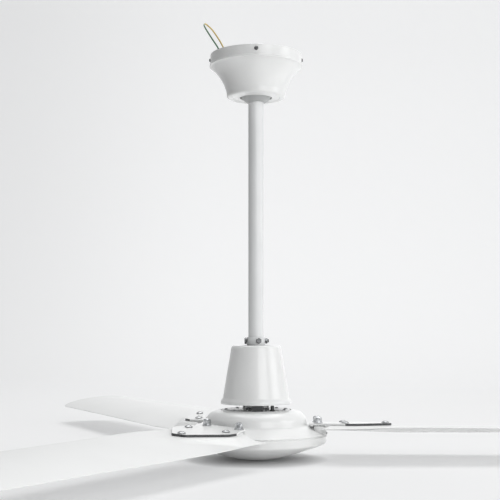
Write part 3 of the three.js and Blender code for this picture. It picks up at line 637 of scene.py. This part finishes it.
def makeCanopy():
    shell = lathe(sheetProfile(canopyLine(), canopy["sheet"]), 144)
    piece = addPiece(
        "canopyPiece", shell, "ceiling_mount", ["canopy"], ["whiteEnamel"], 40.0,
    )
    inner, outer, half = canopy["hole"] - 2, canopy["hole"] + 9, 2
    slot = plate(
        [(inner, -half), (outer, -half), (outer + 2, 0), (outer, half), (inner, half)],
        8, 0.01, 0, turnAbout("Z", 1.0) @ lift(canopy["top"] - canopy["depth"] - 4),
    )
    sideways = lift(canopy["screwDrop"]) @ toSide
    start, end = canopy["band"] - 9.4, canopy["band"] + 8.6
    holes = [
        bar(canopy["screwHole"], start, end, turnAbout("Z", k * math.pi / 2) @ sideways, 24)
        for k in range(4)
    ]
    carve(piece, slot, *holes)


makeCanopy()
for index in range(4):
    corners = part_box(f"canopy_screw_{index + 1}")
    middle = (Vector(corners[0]) + Vector(corners[1])) / 2
    place = turnAbout("Z", math.atan2(middle.y, middle.x)) @ lift(canopy["screwDrop"])
    place = place @ toSide @ lift(canopy["band"] + gap)
    place = place @ turnAbout("Z", 0.4 + index)  # each screw stops at its own angle
    addPiece(
        f"canopyScrew{index + 1}", crossScrew(canopyScrew, place),
        "ceiling_mount", [f"canopy_screw_{index + 1}"], ["darkScrew"], 30.0,
    )
print("canopy made")


# Hanging side: ball, rod, coupling and its fasteners.

rod = {"radius": 11.0, "wall": 2.0, "top": -30.4, "bottom": -468.0}
ball = {"radius": 26.0, "height": -46.4, "flat": 12.0, "pinHole": 3.3}
coupling = {
    "top": -405.0, "bottom": -508.2, "collar": 13.2, "collarHeight": 11.0, "body": 13.0,
    "foot": 15.5, "footHeight": 6.0, "web": 5.0, "shaftHole": 7.7,
}
bolt = {
    "radius": 2.5, "root": 2.2, "hole": 2.8, "head": 4.6, "height": 3.0, "overhang": 1.3,
    "threadStart": 12.0, "threadSteps": 24,
}
lock = {"head": 4.1, "height": 2.6, "tip": 11.4, "holeStart": 8, "turn": -1.3}
collarMiddle = lift(coupling["top"] - coupling["collarHeight"] / 2)
boltLine = collarMiddle @ toSide
screwLine = turnAbout("Z", lock["turn"]) @ collarMiddle @ toSide
pinLine = lift(ball["height"]) @ toFront


def makeBall():
    bore = rod["radius"] + gap
    foot = math.sqrt(ball["radius"] ** 2 - (rod["radius"] + 2) ** 2)
    start = -math.asin(foot / ball["radius"])
    end = math.asin(ball["flat"] / ball["radius"])
    arc = [
        (ball["radius"] * math.cos(start + (end - start) * k / 32),
         ball["radius"] * math.sin(start + (end - start) * k / 32))
        for k in range(33)
    ]
    profile = [(bore, -foot), *arc, (bore, ball["flat"])]
    shape = lathe(profile, 112, lift(ball["height"]))
    piece = addPiece(
        "ballPiece", shape, "hanging", ["hanger_ball"], ["greyNylon"], 35.0,
    )
    carve(piece, bar(ball["pinHole"], -through, through, pinLine))


def makeRod():
    inner = rod["radius"] - rod["wall"]
    profile = rounded([
        (inner, rod["bottom"], 0.3), (rod["radius"], rod["bottom"], 0.4),
        (rod["radius"], rod["top"], 0.4), (inner, rod["top"], 0.3),
    ], 3)
    piece = addPiece(
        "rodPiece", lathe(profile, 112), "hanging", ["downrod"], ["rodEnamel"],
    )
    pinHole = bar(ball["pinHole"], -through, through, pinLine)
    carve(piece, pinHole, bar(bolt["hole"], -through, through, boltLine))


def makeCoupling():
    bore = rod["radius"] + gap
    rodFloor = rod["bottom"] - gap
    shaftRoof = rodFloor - coupling["web"]
    collarFoot = coupling["top"] - coupling["collarHeight"]
    low = coupling["bottom"]
    profile = rounded([
        (0, shaftRoof), (coupling["shaftHole"], shaftRoof), (coupling["shaftHole"], low),
        (coupling["foot"], low, 0.6), (coupling["foot"], low + coupling["footHeight"], 0.8),
        (coupling["body"] + 2, low + coupling["footHeight"] + 2, 1.5),
        (coupling["body"], low + coupling["footHeight"] + 6, 2.0),
        (coupling["body"], collarFoot - 0.5), (coupling["collar"], collarFoot, 0.1),
        (coupling["collar"], coupling["top"], 1.2), (bore, coupling["top"], 0.5),
        (bore, rodFloor), (0, rodFloor),
    ], 4)
    piece = addPiece(
        "couplingPiece", lathe(profile, 112), "hanging", ["coupling"], ["rodEnamel"],
    )
    across = bar(bolt["hole"], -through, through, boltLine)
    carve(piece, across, bar(bolt["hole"], lock["holeStart"], through, screwLine))


def makeCollarScrews():
    under = coupling["collar"] + gap
    radius, threadStart = bolt["radius"], bolt["threadStart"]
    threadEnd = under + bolt["height"] + 2 * gap + bolt["overhang"]
    threads = []
    for k in range(bolt["threadSteps"] + 1):
        height = threadStart + (threadEnd - threadStart) * k / bolt["threadSteps"]
        threads.append((bolt["root"] if k % 2 else radius, height))
    start = -under - 0.1
    shank = [(0, start), (radius, start), *threads, (radius - 0.6, threadEnd), (0, threadEnd)]
    head = hexHead(bolt["head"], bolt["height"], 0.6, boltLine @ lift(-under) @ upsideDown)
    addPiece(
        "crossBolt", together(lathe(shank, 32, boltLine), head),
        "hanging", ["cross_bolt"], ["darkScrew"], 25.0,
    )
    nutPlace = boltLine @ lift(under) @ turnAbout("Z", 0.5)
    nut = addPiece(
        "crossNut", hexHead(bolt["head"], bolt["height"], 0.5, nutPlace),
        "hanging", ["cross_nut"], ["brightScrew"], 25.0,
    )
    carve(nut, bar(bolt["hole"], 10, through, boltLine))
    tip, end = lock["tip"], under + gap
    shank = [(0, tip), (radius - 0.4, tip), (radius, tip + 0.6), (radius, end), (0, end)]
    head = hexHead(lock["head"], lock["height"], 0.5, screwLine @ lift(under))
    addPiece(
        "lockScrew", together(lathe(shank, 32, screwLine), head),
        "hanging", ["lock_screw"], ["darkScrew"], 25.0,
    )


makeBall()
makeRod()
makeCoupling()
makeCollarScrews()
print("rod made")


# Cover, top plate and what stands on the plate.

cover = {
    "top": -417.0, "height": 83.4, "sheet": 1.2, "topRadius": 35.0, "footRadius": 47.6,
    "bead": 50.8, "beadHeight": 5.0, "hole": 21.0,
}


def makeCover():
    top = cover["top"]
    foot = top - cover["height"]
    line = rounded([
        (cover["hole"], top), (cover["topRadius"], top, 5.2),
        (cover["footRadius"], foot + cover["beadHeight"] + 3.4, 4.0),
        (cover["bead"] - 0.2, foot + cover["beadHeight"] - 0.8, 2.2),
        (cover["bead"], foot + 2.0, 1.2), (cover["bead"] - 0.8, foot),
    ], 8, False)
    shape = lathe(sheetProfile(line, cover["sheet"]), 144)
    addPiece("coverPiece", shape, "cover", ["coupling_cover"], ["whiteEnamel"], 40.0)


makeCover()

topPlate = {"radius": 49.0, "top": -508.5, "sheet": 1.5, "bore": 7.7}
plateScrew = {"head": 2.6, "dome": 1.3, "shank": 1.2, "end": -1.0}
plateScrews = [(-43, 0), (43, 8), (-30, -26), (30, 26), (-12, 40), (-27, 30), (40, -16)]


def makeTopPlate():
    top = topPlate["top"]
    profile = rounded([
        (topPlate["bore"], top - topPlate["sheet"]), (topPlate["radius"], top - topPlate["sheet"], 0.4),
        (topPlate["radius"], top, 0.5), (topPlate["bore"], top),
    ], 3)
    parts = [lathe(profile, 128)]
    for x, y in plateScrews:
        parts.append(marked(crossScrew(plateScrew, shift(x, y, top)), 1))
    addPiece(
        "topPlatePiece", together(*parts), "hanging", ["top_plate"],
        ["whiteEnamel", "brightScrew"],
    )


makeTopPlate()

terminal = {
    "width": 15.0, "depth": 13.0, "side": 1.8, "ears": 33.0, "earHeight": 2.2, "earSheet": 1.6,
    "screwReach": 4.4, "entryPitch": 4.4,
}
terminalScrew = {"head": 2.2, "dome": 1.1, "shank": 1.0, "end": -3.5}


def makeTerminalBlock():
    foot = topPlate["top"] + gap
    near = -cover["bead"] + 2
    half = terminal["width"] / 2
    middle = terminal["side"]
    height = cover["top"] - cover["height"] - gap - foot
    earFoot = (height - terminal["earHeight"]) / 3 + 0.4
    body = [
        (middle - half, near), (middle + half, near),
        (middle + half, near + terminal["depth"]), (middle - half, near + terminal["depth"]),
    ]
    parts = [plate(body, height, 0.4, 0, lift(foot))]
    for side in (-1, 1):
        inner, outer = middle + side * (half - 0.5), middle + side * terminal["ears"] / 2
        ear = rounded([
            (inner, near + 1), (outer, near + 2.5, 1.8), (outer, near + terminal["depth"] - 2.5, 1.8),
            (inner, near + terminal["depth"] - 1),
        ], 4)
        parts.append(plate(ear, terminal["earSheet"], 0.35, 0, lift(foot + earFoot)))
        screwSide = middle + side * (half + terminal["screwReach"])
        spot = shift(screwSide, near + 5.5, foot + earFoot + terminal["earSheet"])
        parts.append(marked(crossScrew(terminalScrew, spot), 1))
    ring = [(0, 0), (1.5, 0), (1.5, 0.35), (1.1, 0.35), (1.1, 0.15), (0, 0.15)]
    for k in (-1, 0, 1):  # wire entries on the front
        entry = shift(middle + k * terminal["entryPitch"], near + 0.1, foot + height * 0.5)
        parts.append(lathe(ring, 20, entry @ toFront))
    addPiece(
        "terminalBlockPiece", together(*parts), "hanging", ["terminal_block"],
        ["blackPlastic", "darkScrew"], 30.0,
    )


grommet = {"flange": 3.8, "neck": 2.6, "tip": 1.8}


def makeGrommet():
    corners = [Vector(corner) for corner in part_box("lead_grommet")]
    middle = (corners[0] + corners[1]) / 2 / mm
    low, high = corners[0].z / mm, corners[1].z / mm
    profile = rounded([
        (0, low), (grommet["flange"], low, 0.3), (grommet["flange"], low + 1.2, 0.4),
        (grommet["neck"], low + 1.8, 0.4), (grommet["neck"], high - 0.8, 0.8),
        (grommet["tip"], high), (0, high),
    ], 4)
    shape = lathe(profile, 40, shift(middle.x, middle.y, 0))
    addPiece("leadGrommet", shape, "hanging", ["lead_grommet"], ["blackPlastic"])


makeTerminalBlock()
makeGrommet()
print("cover and plate made")


# Motor.

motor = {
    "radius": 102.5, "lowerRadius": 101.3, "wall": 2.0, "split": 37.0, "splitGap": 0.15,
    "shoulder": 73.0, "shoulderHeight": 71.3, "shoulderFlat": 52.0, "flangeTop": 49.4,
    "flangeEdge": 38.2, "recess": 50.0, "recessDepth": 2.6, "corner": 28.0,
    "domeFlat": 7.0, "domeEdge": 95.0, "domeHeight": 22.0, "shaftHole": 8.6, "hub": 17.8,
    "hubOuter": 22.0, "upperHub": (56.0, 67.3), "lowerHub": (17.0, 5.7), "floor": (2.6, 3.1),
    "boss": 6.0, "bossCrown": 0.66, "lugEnd": 99.0, "lugWidth": 8.0,
}
iron = {
    "sheet": 3.0, "start": 76.0, "neckEnd": 86.0, "neckHalf": 31.0, "wideHalf": 46.0,
    "wideStart": 124.0, "taperStart": 142.0, "end": 193.0, "endHalf": 10.0, "corner": 7.0,
    "seat": 49.2, "pitch": 0.06, "boltReach": 88.0, "boltSide": 26.0,
}
blade = {
    "tip": 710.5, "rootArc": 112.0, "sheet": 1.0, "rim": 0.64,  # the rim's share of the sheet
    "rootHalf": 69.0, "midHalf": 62.0, "tipHalf": 57.5, "tipCorner": 36.0,
    "lift": 46.5, "rootPitch": 0.105, "pitch": 0.142, "pitchReach": 220.0, "camber": 4.5,
    "padEdge": 3.0, "padBlend": 24.0,  # the flat pad goes over into the blade between these
    "restTurn": math.radians(-1.5), "screws": [(126, 30), (126, -30), (185, 0)],
}


def flangeHeight(radius):
    fall = (motor["flangeTop"] - motor["flangeEdge"]) / (motor["radius"] - motor["shoulder"])
    return motor["flangeTop"] - (radius - motor["shoulder"]) * fall


# A smooth line through a few profile points.
def curvePoints(points, count):
    line = smoothLine([(r, z, 0.0) for r, z in points], count)
    return [(p.x, p.y) for p in line]


# A place on the underside of an iron, square to it.
def ironSpot(turn, reach, side):
    height = motorZ(iron["seat"] + iron["pitch"] * side)
    return turn @ shift(reach, -side, height) @ turnAbout("X", -math.atan(iron["pitch"]))


def bladeTurn(k):
    return turnAbout("Z", blade["restTurn"] + k * 2 * math.pi / 3)


def makeTopShell():
    shoulderFlat, top = motor["shoulderFlat"], motor["shoulderHeight"]
    shoulder, flange = motor["shoulder"], motor["flangeTop"]
    recessFloor = top - motor["recessDepth"]
    radius, wall, edge = motor["radius"], motor["wall"], motor["split"] + motor["splitGap"]
    hub, hubOuter, (hubFoot, hubRoof) = motor["hub"], motor["hubOuter"], motor["upperHub"]
    curve = curvePoints([
        (shoulderFlat, top), (shoulderFlat + (shoulder - shoulderFlat) * 0.55, top - 3.4),
        (shoulder - 1.8, flange + 10.5), (shoulder, flange + 1.2),
    ], 8)
    outer = curve + rounded([
        curve[-1], (shoulder + 1.2, flangeHeight(shoulder + 1.2), 1.6),
        (radius, flangeHeight(radius), 1.2), (radius, motor["split"] + 0.4, 0.5), (radius - 0.8, edge),
    ], 6, False)[1:]
    inside = shoulderFlat + 3
    inner = [
        (r, z) for r, z in offsetLine(outer, wall)[::-1]
        if inside < r < radius - wall + 0.1 and z > motor["split"] + 1
    ]
    under = recessFloor - wall
    profile = [
        (motor["shaftHole"], recessFloor), (motor["recess"], recessFloor),
        (motor["recess"] + 0.4, top - 0.4), *outer, (radius - wall, edge), *inner,
        (inside, under), (hubOuter, under), (hubOuter, hubFoot), (hub, hubFoot), (hub, hubRoof),
        (motor["shaftHole"], hubRoof),
    ]
    parts = [lathe([(r, motorZ(z)) for r, z in profile], 160)]
    for k in range(3):
        for side in (1, -1):
            spot = bladeTurn(k) @ shift(iron["boltReach"], -side * iron["boltSide"], 0)
            height = iron["seat"] + iron["pitch"] * side * iron["boltSide"] - motor["bossCrown"]
            low = motor["split"] + 0.6
            boss = rounded([
                (0, low), (motor["boss"], low), (motor["boss"], height - 1.2, 0.8),
                (motor["boss"] - 0.6, height, 0.4), (0, height),
            ], 3)
            parts.append(lathe([(r, motorZ(z)) for r, z in boss], 40, spot))
            reach = motor["lugEnd"] - iron["boltReach"]
            half = motor["lugWidth"] / 2
            lug = rounded([(0, -half), (reach, -half, 1.5), (reach, half, 1.5), (0, half)], 4)
            parts.append(plate(lug, height - low - 0.5, 0.5, 0, spot @ lift(motorZ(low))))
    addPiece(
        "topShellPiece", together(*parts), "rotor", ["motor_top_shell"],
        ["whiteEnamel"], 38.0,
    )


def makeBottomShell():
    radius, wall, split = motor["lowerRadius"], motor["wall"], motor["split"] - motor["splitGap"]
    flat, edge, height = motor["domeFlat"], motor["domeEdge"], motor["domeHeight"]
    hub, hubOuter, (hubTop, hubFloor) = motor["hub"], motor["hubOuter"], motor["lowerHub"]
    floor, shaftFloor = motor["floor"]
    middle = (flat + edge) / 2
    dome = curvePoints([
        (flat, 0.0), (middle / 2, height * 0.06), (middle, height * 0.33),
        ((middle + edge) / 2, height * 0.65), (edge, height), (radius - 1.6, height + 2.4),
        (radius, motor["corner"]),
    ], 10)
    outer = dome + rounded([
        dome[-1], (radius, split - 1.9, 0.7), (radius - 0.9, split - 1.1, 0.5),
        (radius - 1.0, split + 0.4),
    ], 4, False)[1:]
    inner = [
        (r, z) for r, z in offsetLine(outer, -wall)[::-1]
        if hubOuter + 2.2 < r < radius - wall + 0.01 and z < split - 1
    ]
    profile = [
        (0, 0), *outer, (radius - wall, split), *inner, (hubOuter, floor), (hubOuter, hubTop),
        (hub, hubTop), (hub, hubFloor), (motor["shaftHole"], hubFloor),
        (motor["shaftHole"], shaftFloor), (0, shaftFloor),
    ]
    shape = lathe([(r, motorZ(z)) for r, z in profile], 160)
    addPiece(
        "bottomShellPiece", shape, "rotor", ["motor_bottom_shell"],
        ["whiteEnamel"], 38.0,
    )


makeTopShell()
makeBottomShell()
print("motor made")


# Blades and irons.

def ironHalf(reach):
    flare = linear(reach, iron["neckEnd"], iron["wideStart"], iron["neckHalf"], iron["wideHalf"])
    taper = linear(reach, iron["taperStart"], iron["end"], iron["wideHalf"], iron["endHalf"])
    return max(min(max(flare, iron["neckHalf"]), iron["wideHalf"], taper), iron["endHalf"])


def bladeHeight(reach, side):
    pad = iron["seat"] + iron["pitch"] * side - gap - blade["sheet"] / 2
    share = smoothStep(reach, blade["rootArc"], blade["pitchReach"])
    pitch = blade["rootPitch"] + (blade["pitch"] - blade["rootPitch"]) * share
    free = blade["lift"] + pitch * side - blade["camber"] * (side / bladeWidth(reach)) ** 2
    beyond = max(reach - iron["end"], 0.0)
    beside = max(abs(side) - ironHalf(reach), 0.0)
    share = smoothStep(math.hypot(beyond, beside), blade["padEdge"], blade["padBlend"])
    return motorZ(pad + (free - pad) * share)


# Half the width before the tip's corners are rounded.
def bladeWidth(reach):
    middle = (blade["rootArc"] + blade["tip"]) / 2
    if reach < middle:
        return linear(reach, blade["rootArc"], middle, blade["rootHalf"], blade["midHalf"])
    return linear(reach, middle, blade["tip"], blade["midHalf"], blade["tipHalf"])


def bladeHalf(reach):
    corner = blade["tipCorner"]
    into = max(0.0, min(corner, corner - (blade["tip"] - reach)))
    return bladeWidth(reach) - corner + math.sqrt(corner ** 2 - into ** 2)


def bladeMiddle(along, across):
    start = math.sqrt(blade["rootArc"] ** 2 - (blade["rootHalf"] * across) ** 2)
    reach = start + (blade["tip"] - start) * along
    side = bladeHalf(reach) * across
    return Vector((reach, -side, bladeHeight(reach, side)))


def makeBlade(k):
    rootShare, tipShare, rows = 0.24, 0.94, 56  # finer steps before and after these shares
    steps = [rootShare * (i / 48) for i in range(48)]
    steps += [rootShare + (tipShare - rootShare) * (i / 46) for i in range(46)]
    steps += [1 - (1 - tipShare) * math.cos(math.pi / 2 * i / 14) for i in range(15)]
    bend = math.pi / 2 * 0.62  # brings the rows closer together at both edges
    across = [math.sin((2 * j / rows - 1) * bend) / math.sin(bend) for j in range(rows + 1)]
    grid = [[bladeMiddle(along, side) for side in across] for along in steps]
    last = len(steps) - 1
    verts, faces = [], []
    for level in (0.5, -0.5):
        for i, row in enumerate(grid):
            for j, spot in enumerate(row):
                rim = blade["rim"] if i in (0, last) or j in (0, rows) else 1.0
                verts.append((spot.x, spot.y, spot.z + level * rim * blade["sheet"]))

    def top(i, j):
        return i * (rows + 1) + j

    def under(i, j):
        return (last + 1) * (rows + 1) + top(i, j)

    for i in range(last):
        for j in range(rows):
            faces.append((top(i, j), top(i, j + 1), top(i + 1, j + 1), top(i + 1, j)))
            faces.append((under(i, j), under(i + 1, j), under(i + 1, j + 1), under(i, j + 1)))
        faces.append((top(i, 0), top(i + 1, 0), under(i + 1, 0), under(i, 0)))
        faces.append((top(i, rows), under(i, rows), under(i + 1, rows), top(i + 1, rows)))
    for j in range(rows):
        faces.append((top(0, j), under(0, j), under(0, j + 1), top(0, j + 1)))
        faces.append((top(last, j), top(last, j + 1), under(last, j + 1), under(last, j)))
    addPiece(
        f"bladePiece{k + 1}", moved((verts, faces), bladeTurn(k)), "rotor",
        [f"blade_{k + 1}"], ["bladePaint"], 42.0,
    )


def makeIron(k):
    side = [
        (iron["start"], iron["neckHalf"]), (iron["neckEnd"], iron["neckHalf"]),
        (iron["wideStart"], iron["wideHalf"]), (iron["taperStart"], iron["wideHalf"]),
        (iron["end"], iron["endHalf"]),
    ]
    outline = [(x, -y, iron["corner"]) for x, y in side]
    outline += [(x, y, iron["corner"]) for x, y in side[::-1]]
    verts, faces, marks = plate(rounded(outline, 8), iron["sheet"], 0.35, 1)
    for i, face in enumerate(faces):  # the neck's edge keeps the iron paint; the rest of the edge is near black, painted shade along the plate's thickness
        if sum(verts[v][0] for v in face) / len(face) < iron["wideStart"] + 1:
            marks[i] = 0
    shape = moved((verts, faces, marks), ironSpot(bladeTurn(k), 0, 0))
    addPiece(
        f"ironPiece{k + 1}", shape, "rotor", [f"blade_iron_{k + 1}"],
        ["ironPaint", "shadedIronEdge"], 30.0,
    )


ironBolt = {
    "radius": 3.0, "end": -5.8, "washers": (6.6, 5.3), "sheet": 1.2, "head": 5.4, "height": 5.9,
    "cap": 4.0, "capStart": 8.0, "capEnd": 9.3,
}
bladeScrew = {"head": 5.5, "dome": 3.0, "shank": 2.4, "end": -8.0}
bladeNut = {"radius": 4.4, "height": 2.6, "drop": 1.6}


def makeIronBolt(k, j, side):
    spot = ironSpot(bladeTurn(k), iron["boltReach"], side * iron["boltSide"])
    seat = iron["sheet"] + gap
    parts = []
    under = seat
    for radius in ironBolt["washers"]:
        low, under = under, under + ironBolt["sheet"]
        washer = rounded([(0, low), (radius, low, 0.3), (radius, under, 0.4), (0, under)], 3)
        parts.append(lathe(washer, 44, spot))
    radius, end = ironBolt["radius"], ironBolt["end"]
    shank = [(0, end), (radius - 0.6, end), (radius, end + 0.6), (radius, seat), (0, seat)]
    parts.append(lathe(shank, 24, spot))
    turn = turnAbout("Z", 0.5 * k + 0.9 * j)  # each head stops at its own angle
    parts.append(hexHead(ironBolt["head"], ironBolt["height"], 0.9, spot @ lift(under) @ turn))
    radius, low, high = ironBolt["cap"], seat + ironBolt["capStart"], seat + ironBolt["capEnd"]
    cap = rounded([(0, low), (radius, low, 0.4), (radius - 0.8, high - 0.3, 1.4), (0, high)], 4)
    parts.append(lathe(cap, 32, spot))
    addPiece(
        f"ironBolt{k + 1}{j + 1}", together(*parts), "rotor",
        [f"iron_bolt_{k + 1}_{j + 1}"], ["brightScrew"], 28.0,
    )


def makeBladeScrew(k, j, reach, side):
    spot = ironSpot(bladeTurn(k), reach, side)
    top = spot @ lift(iron["sheet"] + gap) @ turnAbout("Z", 0.7 * k + j)
    under = spot @ lift(-bladeNut["drop"]) @ upsideDown
    nut = hexHead(bladeNut["radius"], bladeNut["height"], 0.5, under)
    addPiece(
        f"bladeScrew{k + 1}{j + 1}", together(crossScrew(bladeScrew, top), nut), "rotor",
        [f"blade_screw_{k + 1}_{j + 1}"], ["dullScrew"], 28.0,
    )


for k in range(3):
    makeBlade(k)
    makeIron(k)
    for j, side in enumerate((1, -1)):
        makeIronBolt(k, j, side)
    for j, (reach, side) in enumerate(blade["screws"]):
        makeBladeScrew(k, j, reach, side)
print("blades made")


# Finishes on the CAD nodes that stay.

cadFinish = {
    "hanger_bracket": "zincPlate", "ball_seat": "palePlastic", "wire_connector": "blackPlastic",
    "ball_pin": "brightScrew", "shaft": "brightScrew", "capacitor": "palePlastic",
    "stator_core": "laminatedIron", "rotor_ring": "laminatedIron", "winding_upper": "copperWire",
    "winding_lower": "copperWire", "upper_bearing": "brightScrew", "lower_bearing": "brightScrew",
}
for nodeName, finishName in cadFinish.items():
    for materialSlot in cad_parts[nodeName].material_slots:
        materialSlot.material = finish[finishName]


# Floor, backdrop and light.

stage = {
    "near": -2.6, "bendStart": 2.2, "bendRadius": 1.2, "wallTop": 3.4, "halfWidth": 4.0,  # m
    "under": 0.0002,  # m, below the fan
    "paint": 0.92, "leftPaint": 0.40, "seenPaint": 0.40, "paintSpread": (-1.4, -0.1),
    "nearGlow": 0.455, "farGlow": 0.69, "leftGlow": 0.60, "glowSpread": (-1.3, -0.1),
    "glowDepth": (0.3, 3.3), "glowColour": (0.985, 0.992, 1.0, 1.0),
    "hollow": 0.024, "hollowGlow": 0.08,  # painted contact shade under the motor and blades: its reach in m and the share of the glow that stays in it
}


def makeFloor():
    line = [(stage["near"], 0.0), (stage["bendStart"], 0.0)]
    for k in range(1, 17):
        turn = math.pi / 2 * k / 16
        line.append((
            stage["bendStart"] + stage["bendRadius"] * math.sin(turn),
            stage["bendRadius"] * (1 - math.cos(turn)),
        ))
    line.append((stage["bendStart"] + stage["bendRadius"], stage["wallTop"]))
    verts, faces = [], []
    for y, z in line:
        for x in (-stage["halfWidth"], stage["halfWidth"]):
            verts.append((x, y, z + floorLevel * mm - stage["under"]))
    for i in range(len(line) - 1):
        faces.append((2 * i, 2 * i + 1, 2 * i + 3, 2 * i + 2))
    mesh = bpy.data.meshes.new("floor")
    mesh.from_pydata(verts, [], faces)
    mesh.polygons.foreach_set("use_smooth", [True] * len(mesh.polygons))
    floor = bpy.data.objects.new("floor", mesh)
    scene.collection.objects.link(floor)
    material, nodes, links, shader = newMaterial("floorPaint")
    path = nodes.new("ShaderNodeLightPath").outputs
    setInputs(shader, {"Roughness": 0.9, "Specular IOR Level": 0.1})
    place = nodes.new("ShaderNodeTexCoord")
    parts = nodes.new("ShaderNodeSeparateXYZ")
    links.new(place.outputs["Object"], parts.inputs["Vector"])
    x, y = parts.outputs["X"], parts.outputs["Y"]

    # The floor looks darker than it bounces, so shadows stay soft.
    smooth = "SMOOTHSTEP"
    bounce = mapped(nodes, links, x, *stage["paintSpread"], stage["leftPaint"], stage["paint"], smooth)
    tone = mapped(nodes, links, path["Is Camera Ray"], 0.0, 1.0, bounce, stage["seenPaint"])
    links.new(tone, shader.inputs["Base Color"])
    far = mapped(nodes, links, x, *stage["glowSpread"], stage["leftGlow"], stage["farGlow"], smooth)
    depth = mapped(nodes, links, y, *stage["glowDepth"], stage["nearGlow"], far, smooth)
    hollow = nodes.new("ShaderNodeAmbientOcclusion")  # painted contact shade: the glow fades under the motor and blades
    hollow.samples = 12
    hollow.inputs["Distance"].default_value = stage["hollow"]
    fade = mapped(nodes, links, hollow.outputs["AO"], 0.0, 1.0, stage["hollowGlow"], 1.0)
    shown = combined(nodes, links, "MAXIMUM", path["Is Camera Ray"], path["Is Glossy Ray"])
    faded = combined(nodes, links, "MULTIPLY", shown, fade)
    glow = nodes.new("ShaderNodeEmission")
    glow.inputs["Color"].default_value = stage["glowColour"]
    links.new(combined(nodes, links, "MULTIPLY", faded, depth), glow.inputs["Strength"])
    both = nodes.new("ShaderNodeAddShader")
    links.new(shader.outputs["BSDF"], both.inputs[0])
    links.new(glow.outputs["Emission"], both.inputs[1])
    links.new(both.outputs["Shader"], nodes["Material Output"].inputs["Surface"])
    mesh.materials.append(material)


lamps = {  # places in m, powers in W
    "overhead": {"place": (0.1, 0.55, 1.6), "aim": (0.0, 0.1, -0.5), "size": 2.0, "power": 35.0},
    "right": {"place": (2.0, -0.5, 0.2), "aim": (0.0, 0.0, -0.35), "size": 1.2, "power": 9.0},
    "front": {"place": (0.95, -2.0, 0.2), "aim": (0.0, 0.0, -0.35), "size": 1.4, "power": 16.0},
}


makeFloor()
for lampName, lamp in lamps.items():
    data = bpy.data.lights.new(lampName, "AREA")
    data.shape = "DISK"
    data.size = lamp["size"]
    data.energy = lamp["power"]
    lampObject = bpy.data.objects.new(lampName, data)
    scene.collection.objects.link(lampObject)
    lampObject.location = lamp["place"]
    aim = Vector(lamp["aim"]) - Vector(lamp["place"])
    lampObject.rotation_euler = aim.to_track_quat("-Z", "Y").to_euler()

room = {
    "colour": (0.98, 0.99, 1.0, 1.0), "spread": (-1.0, 0.6), "left": 0.05, "right": 0.44,
    "reflected": 0.80,
}
world = bpy.data.worlds.new("room")
world.use_nodes = True
nodes, links = world.node_tree.nodes, world.node_tree.links
background = nodes["Background"].inputs
background["Color"].default_value = room["colour"]
direction = nodes.new("ShaderNodeTexCoord")
parts = nodes.new("ShaderNodeSeparateXYZ")
links.new(direction.outputs["Generated"], parts.inputs["Vector"])
x = parts.outputs["X"]
lit = mapped(nodes, links, x, *room["spread"], room["left"], room["right"], "SMOOTHSTEP")
path = nodes.new("ShaderNodeLightPath").outputs
shown = combined(nodes, links, "MAXIMUM", path["Is Glossy Ray"], path["Is Camera Ray"])
seen = mapped(nodes, links, shown, 0.0, 1.0, lit, room["reflected"])  # metal shows a pale room
links.new(seen, background["Strength"])
scene.world = world
print("stage made")
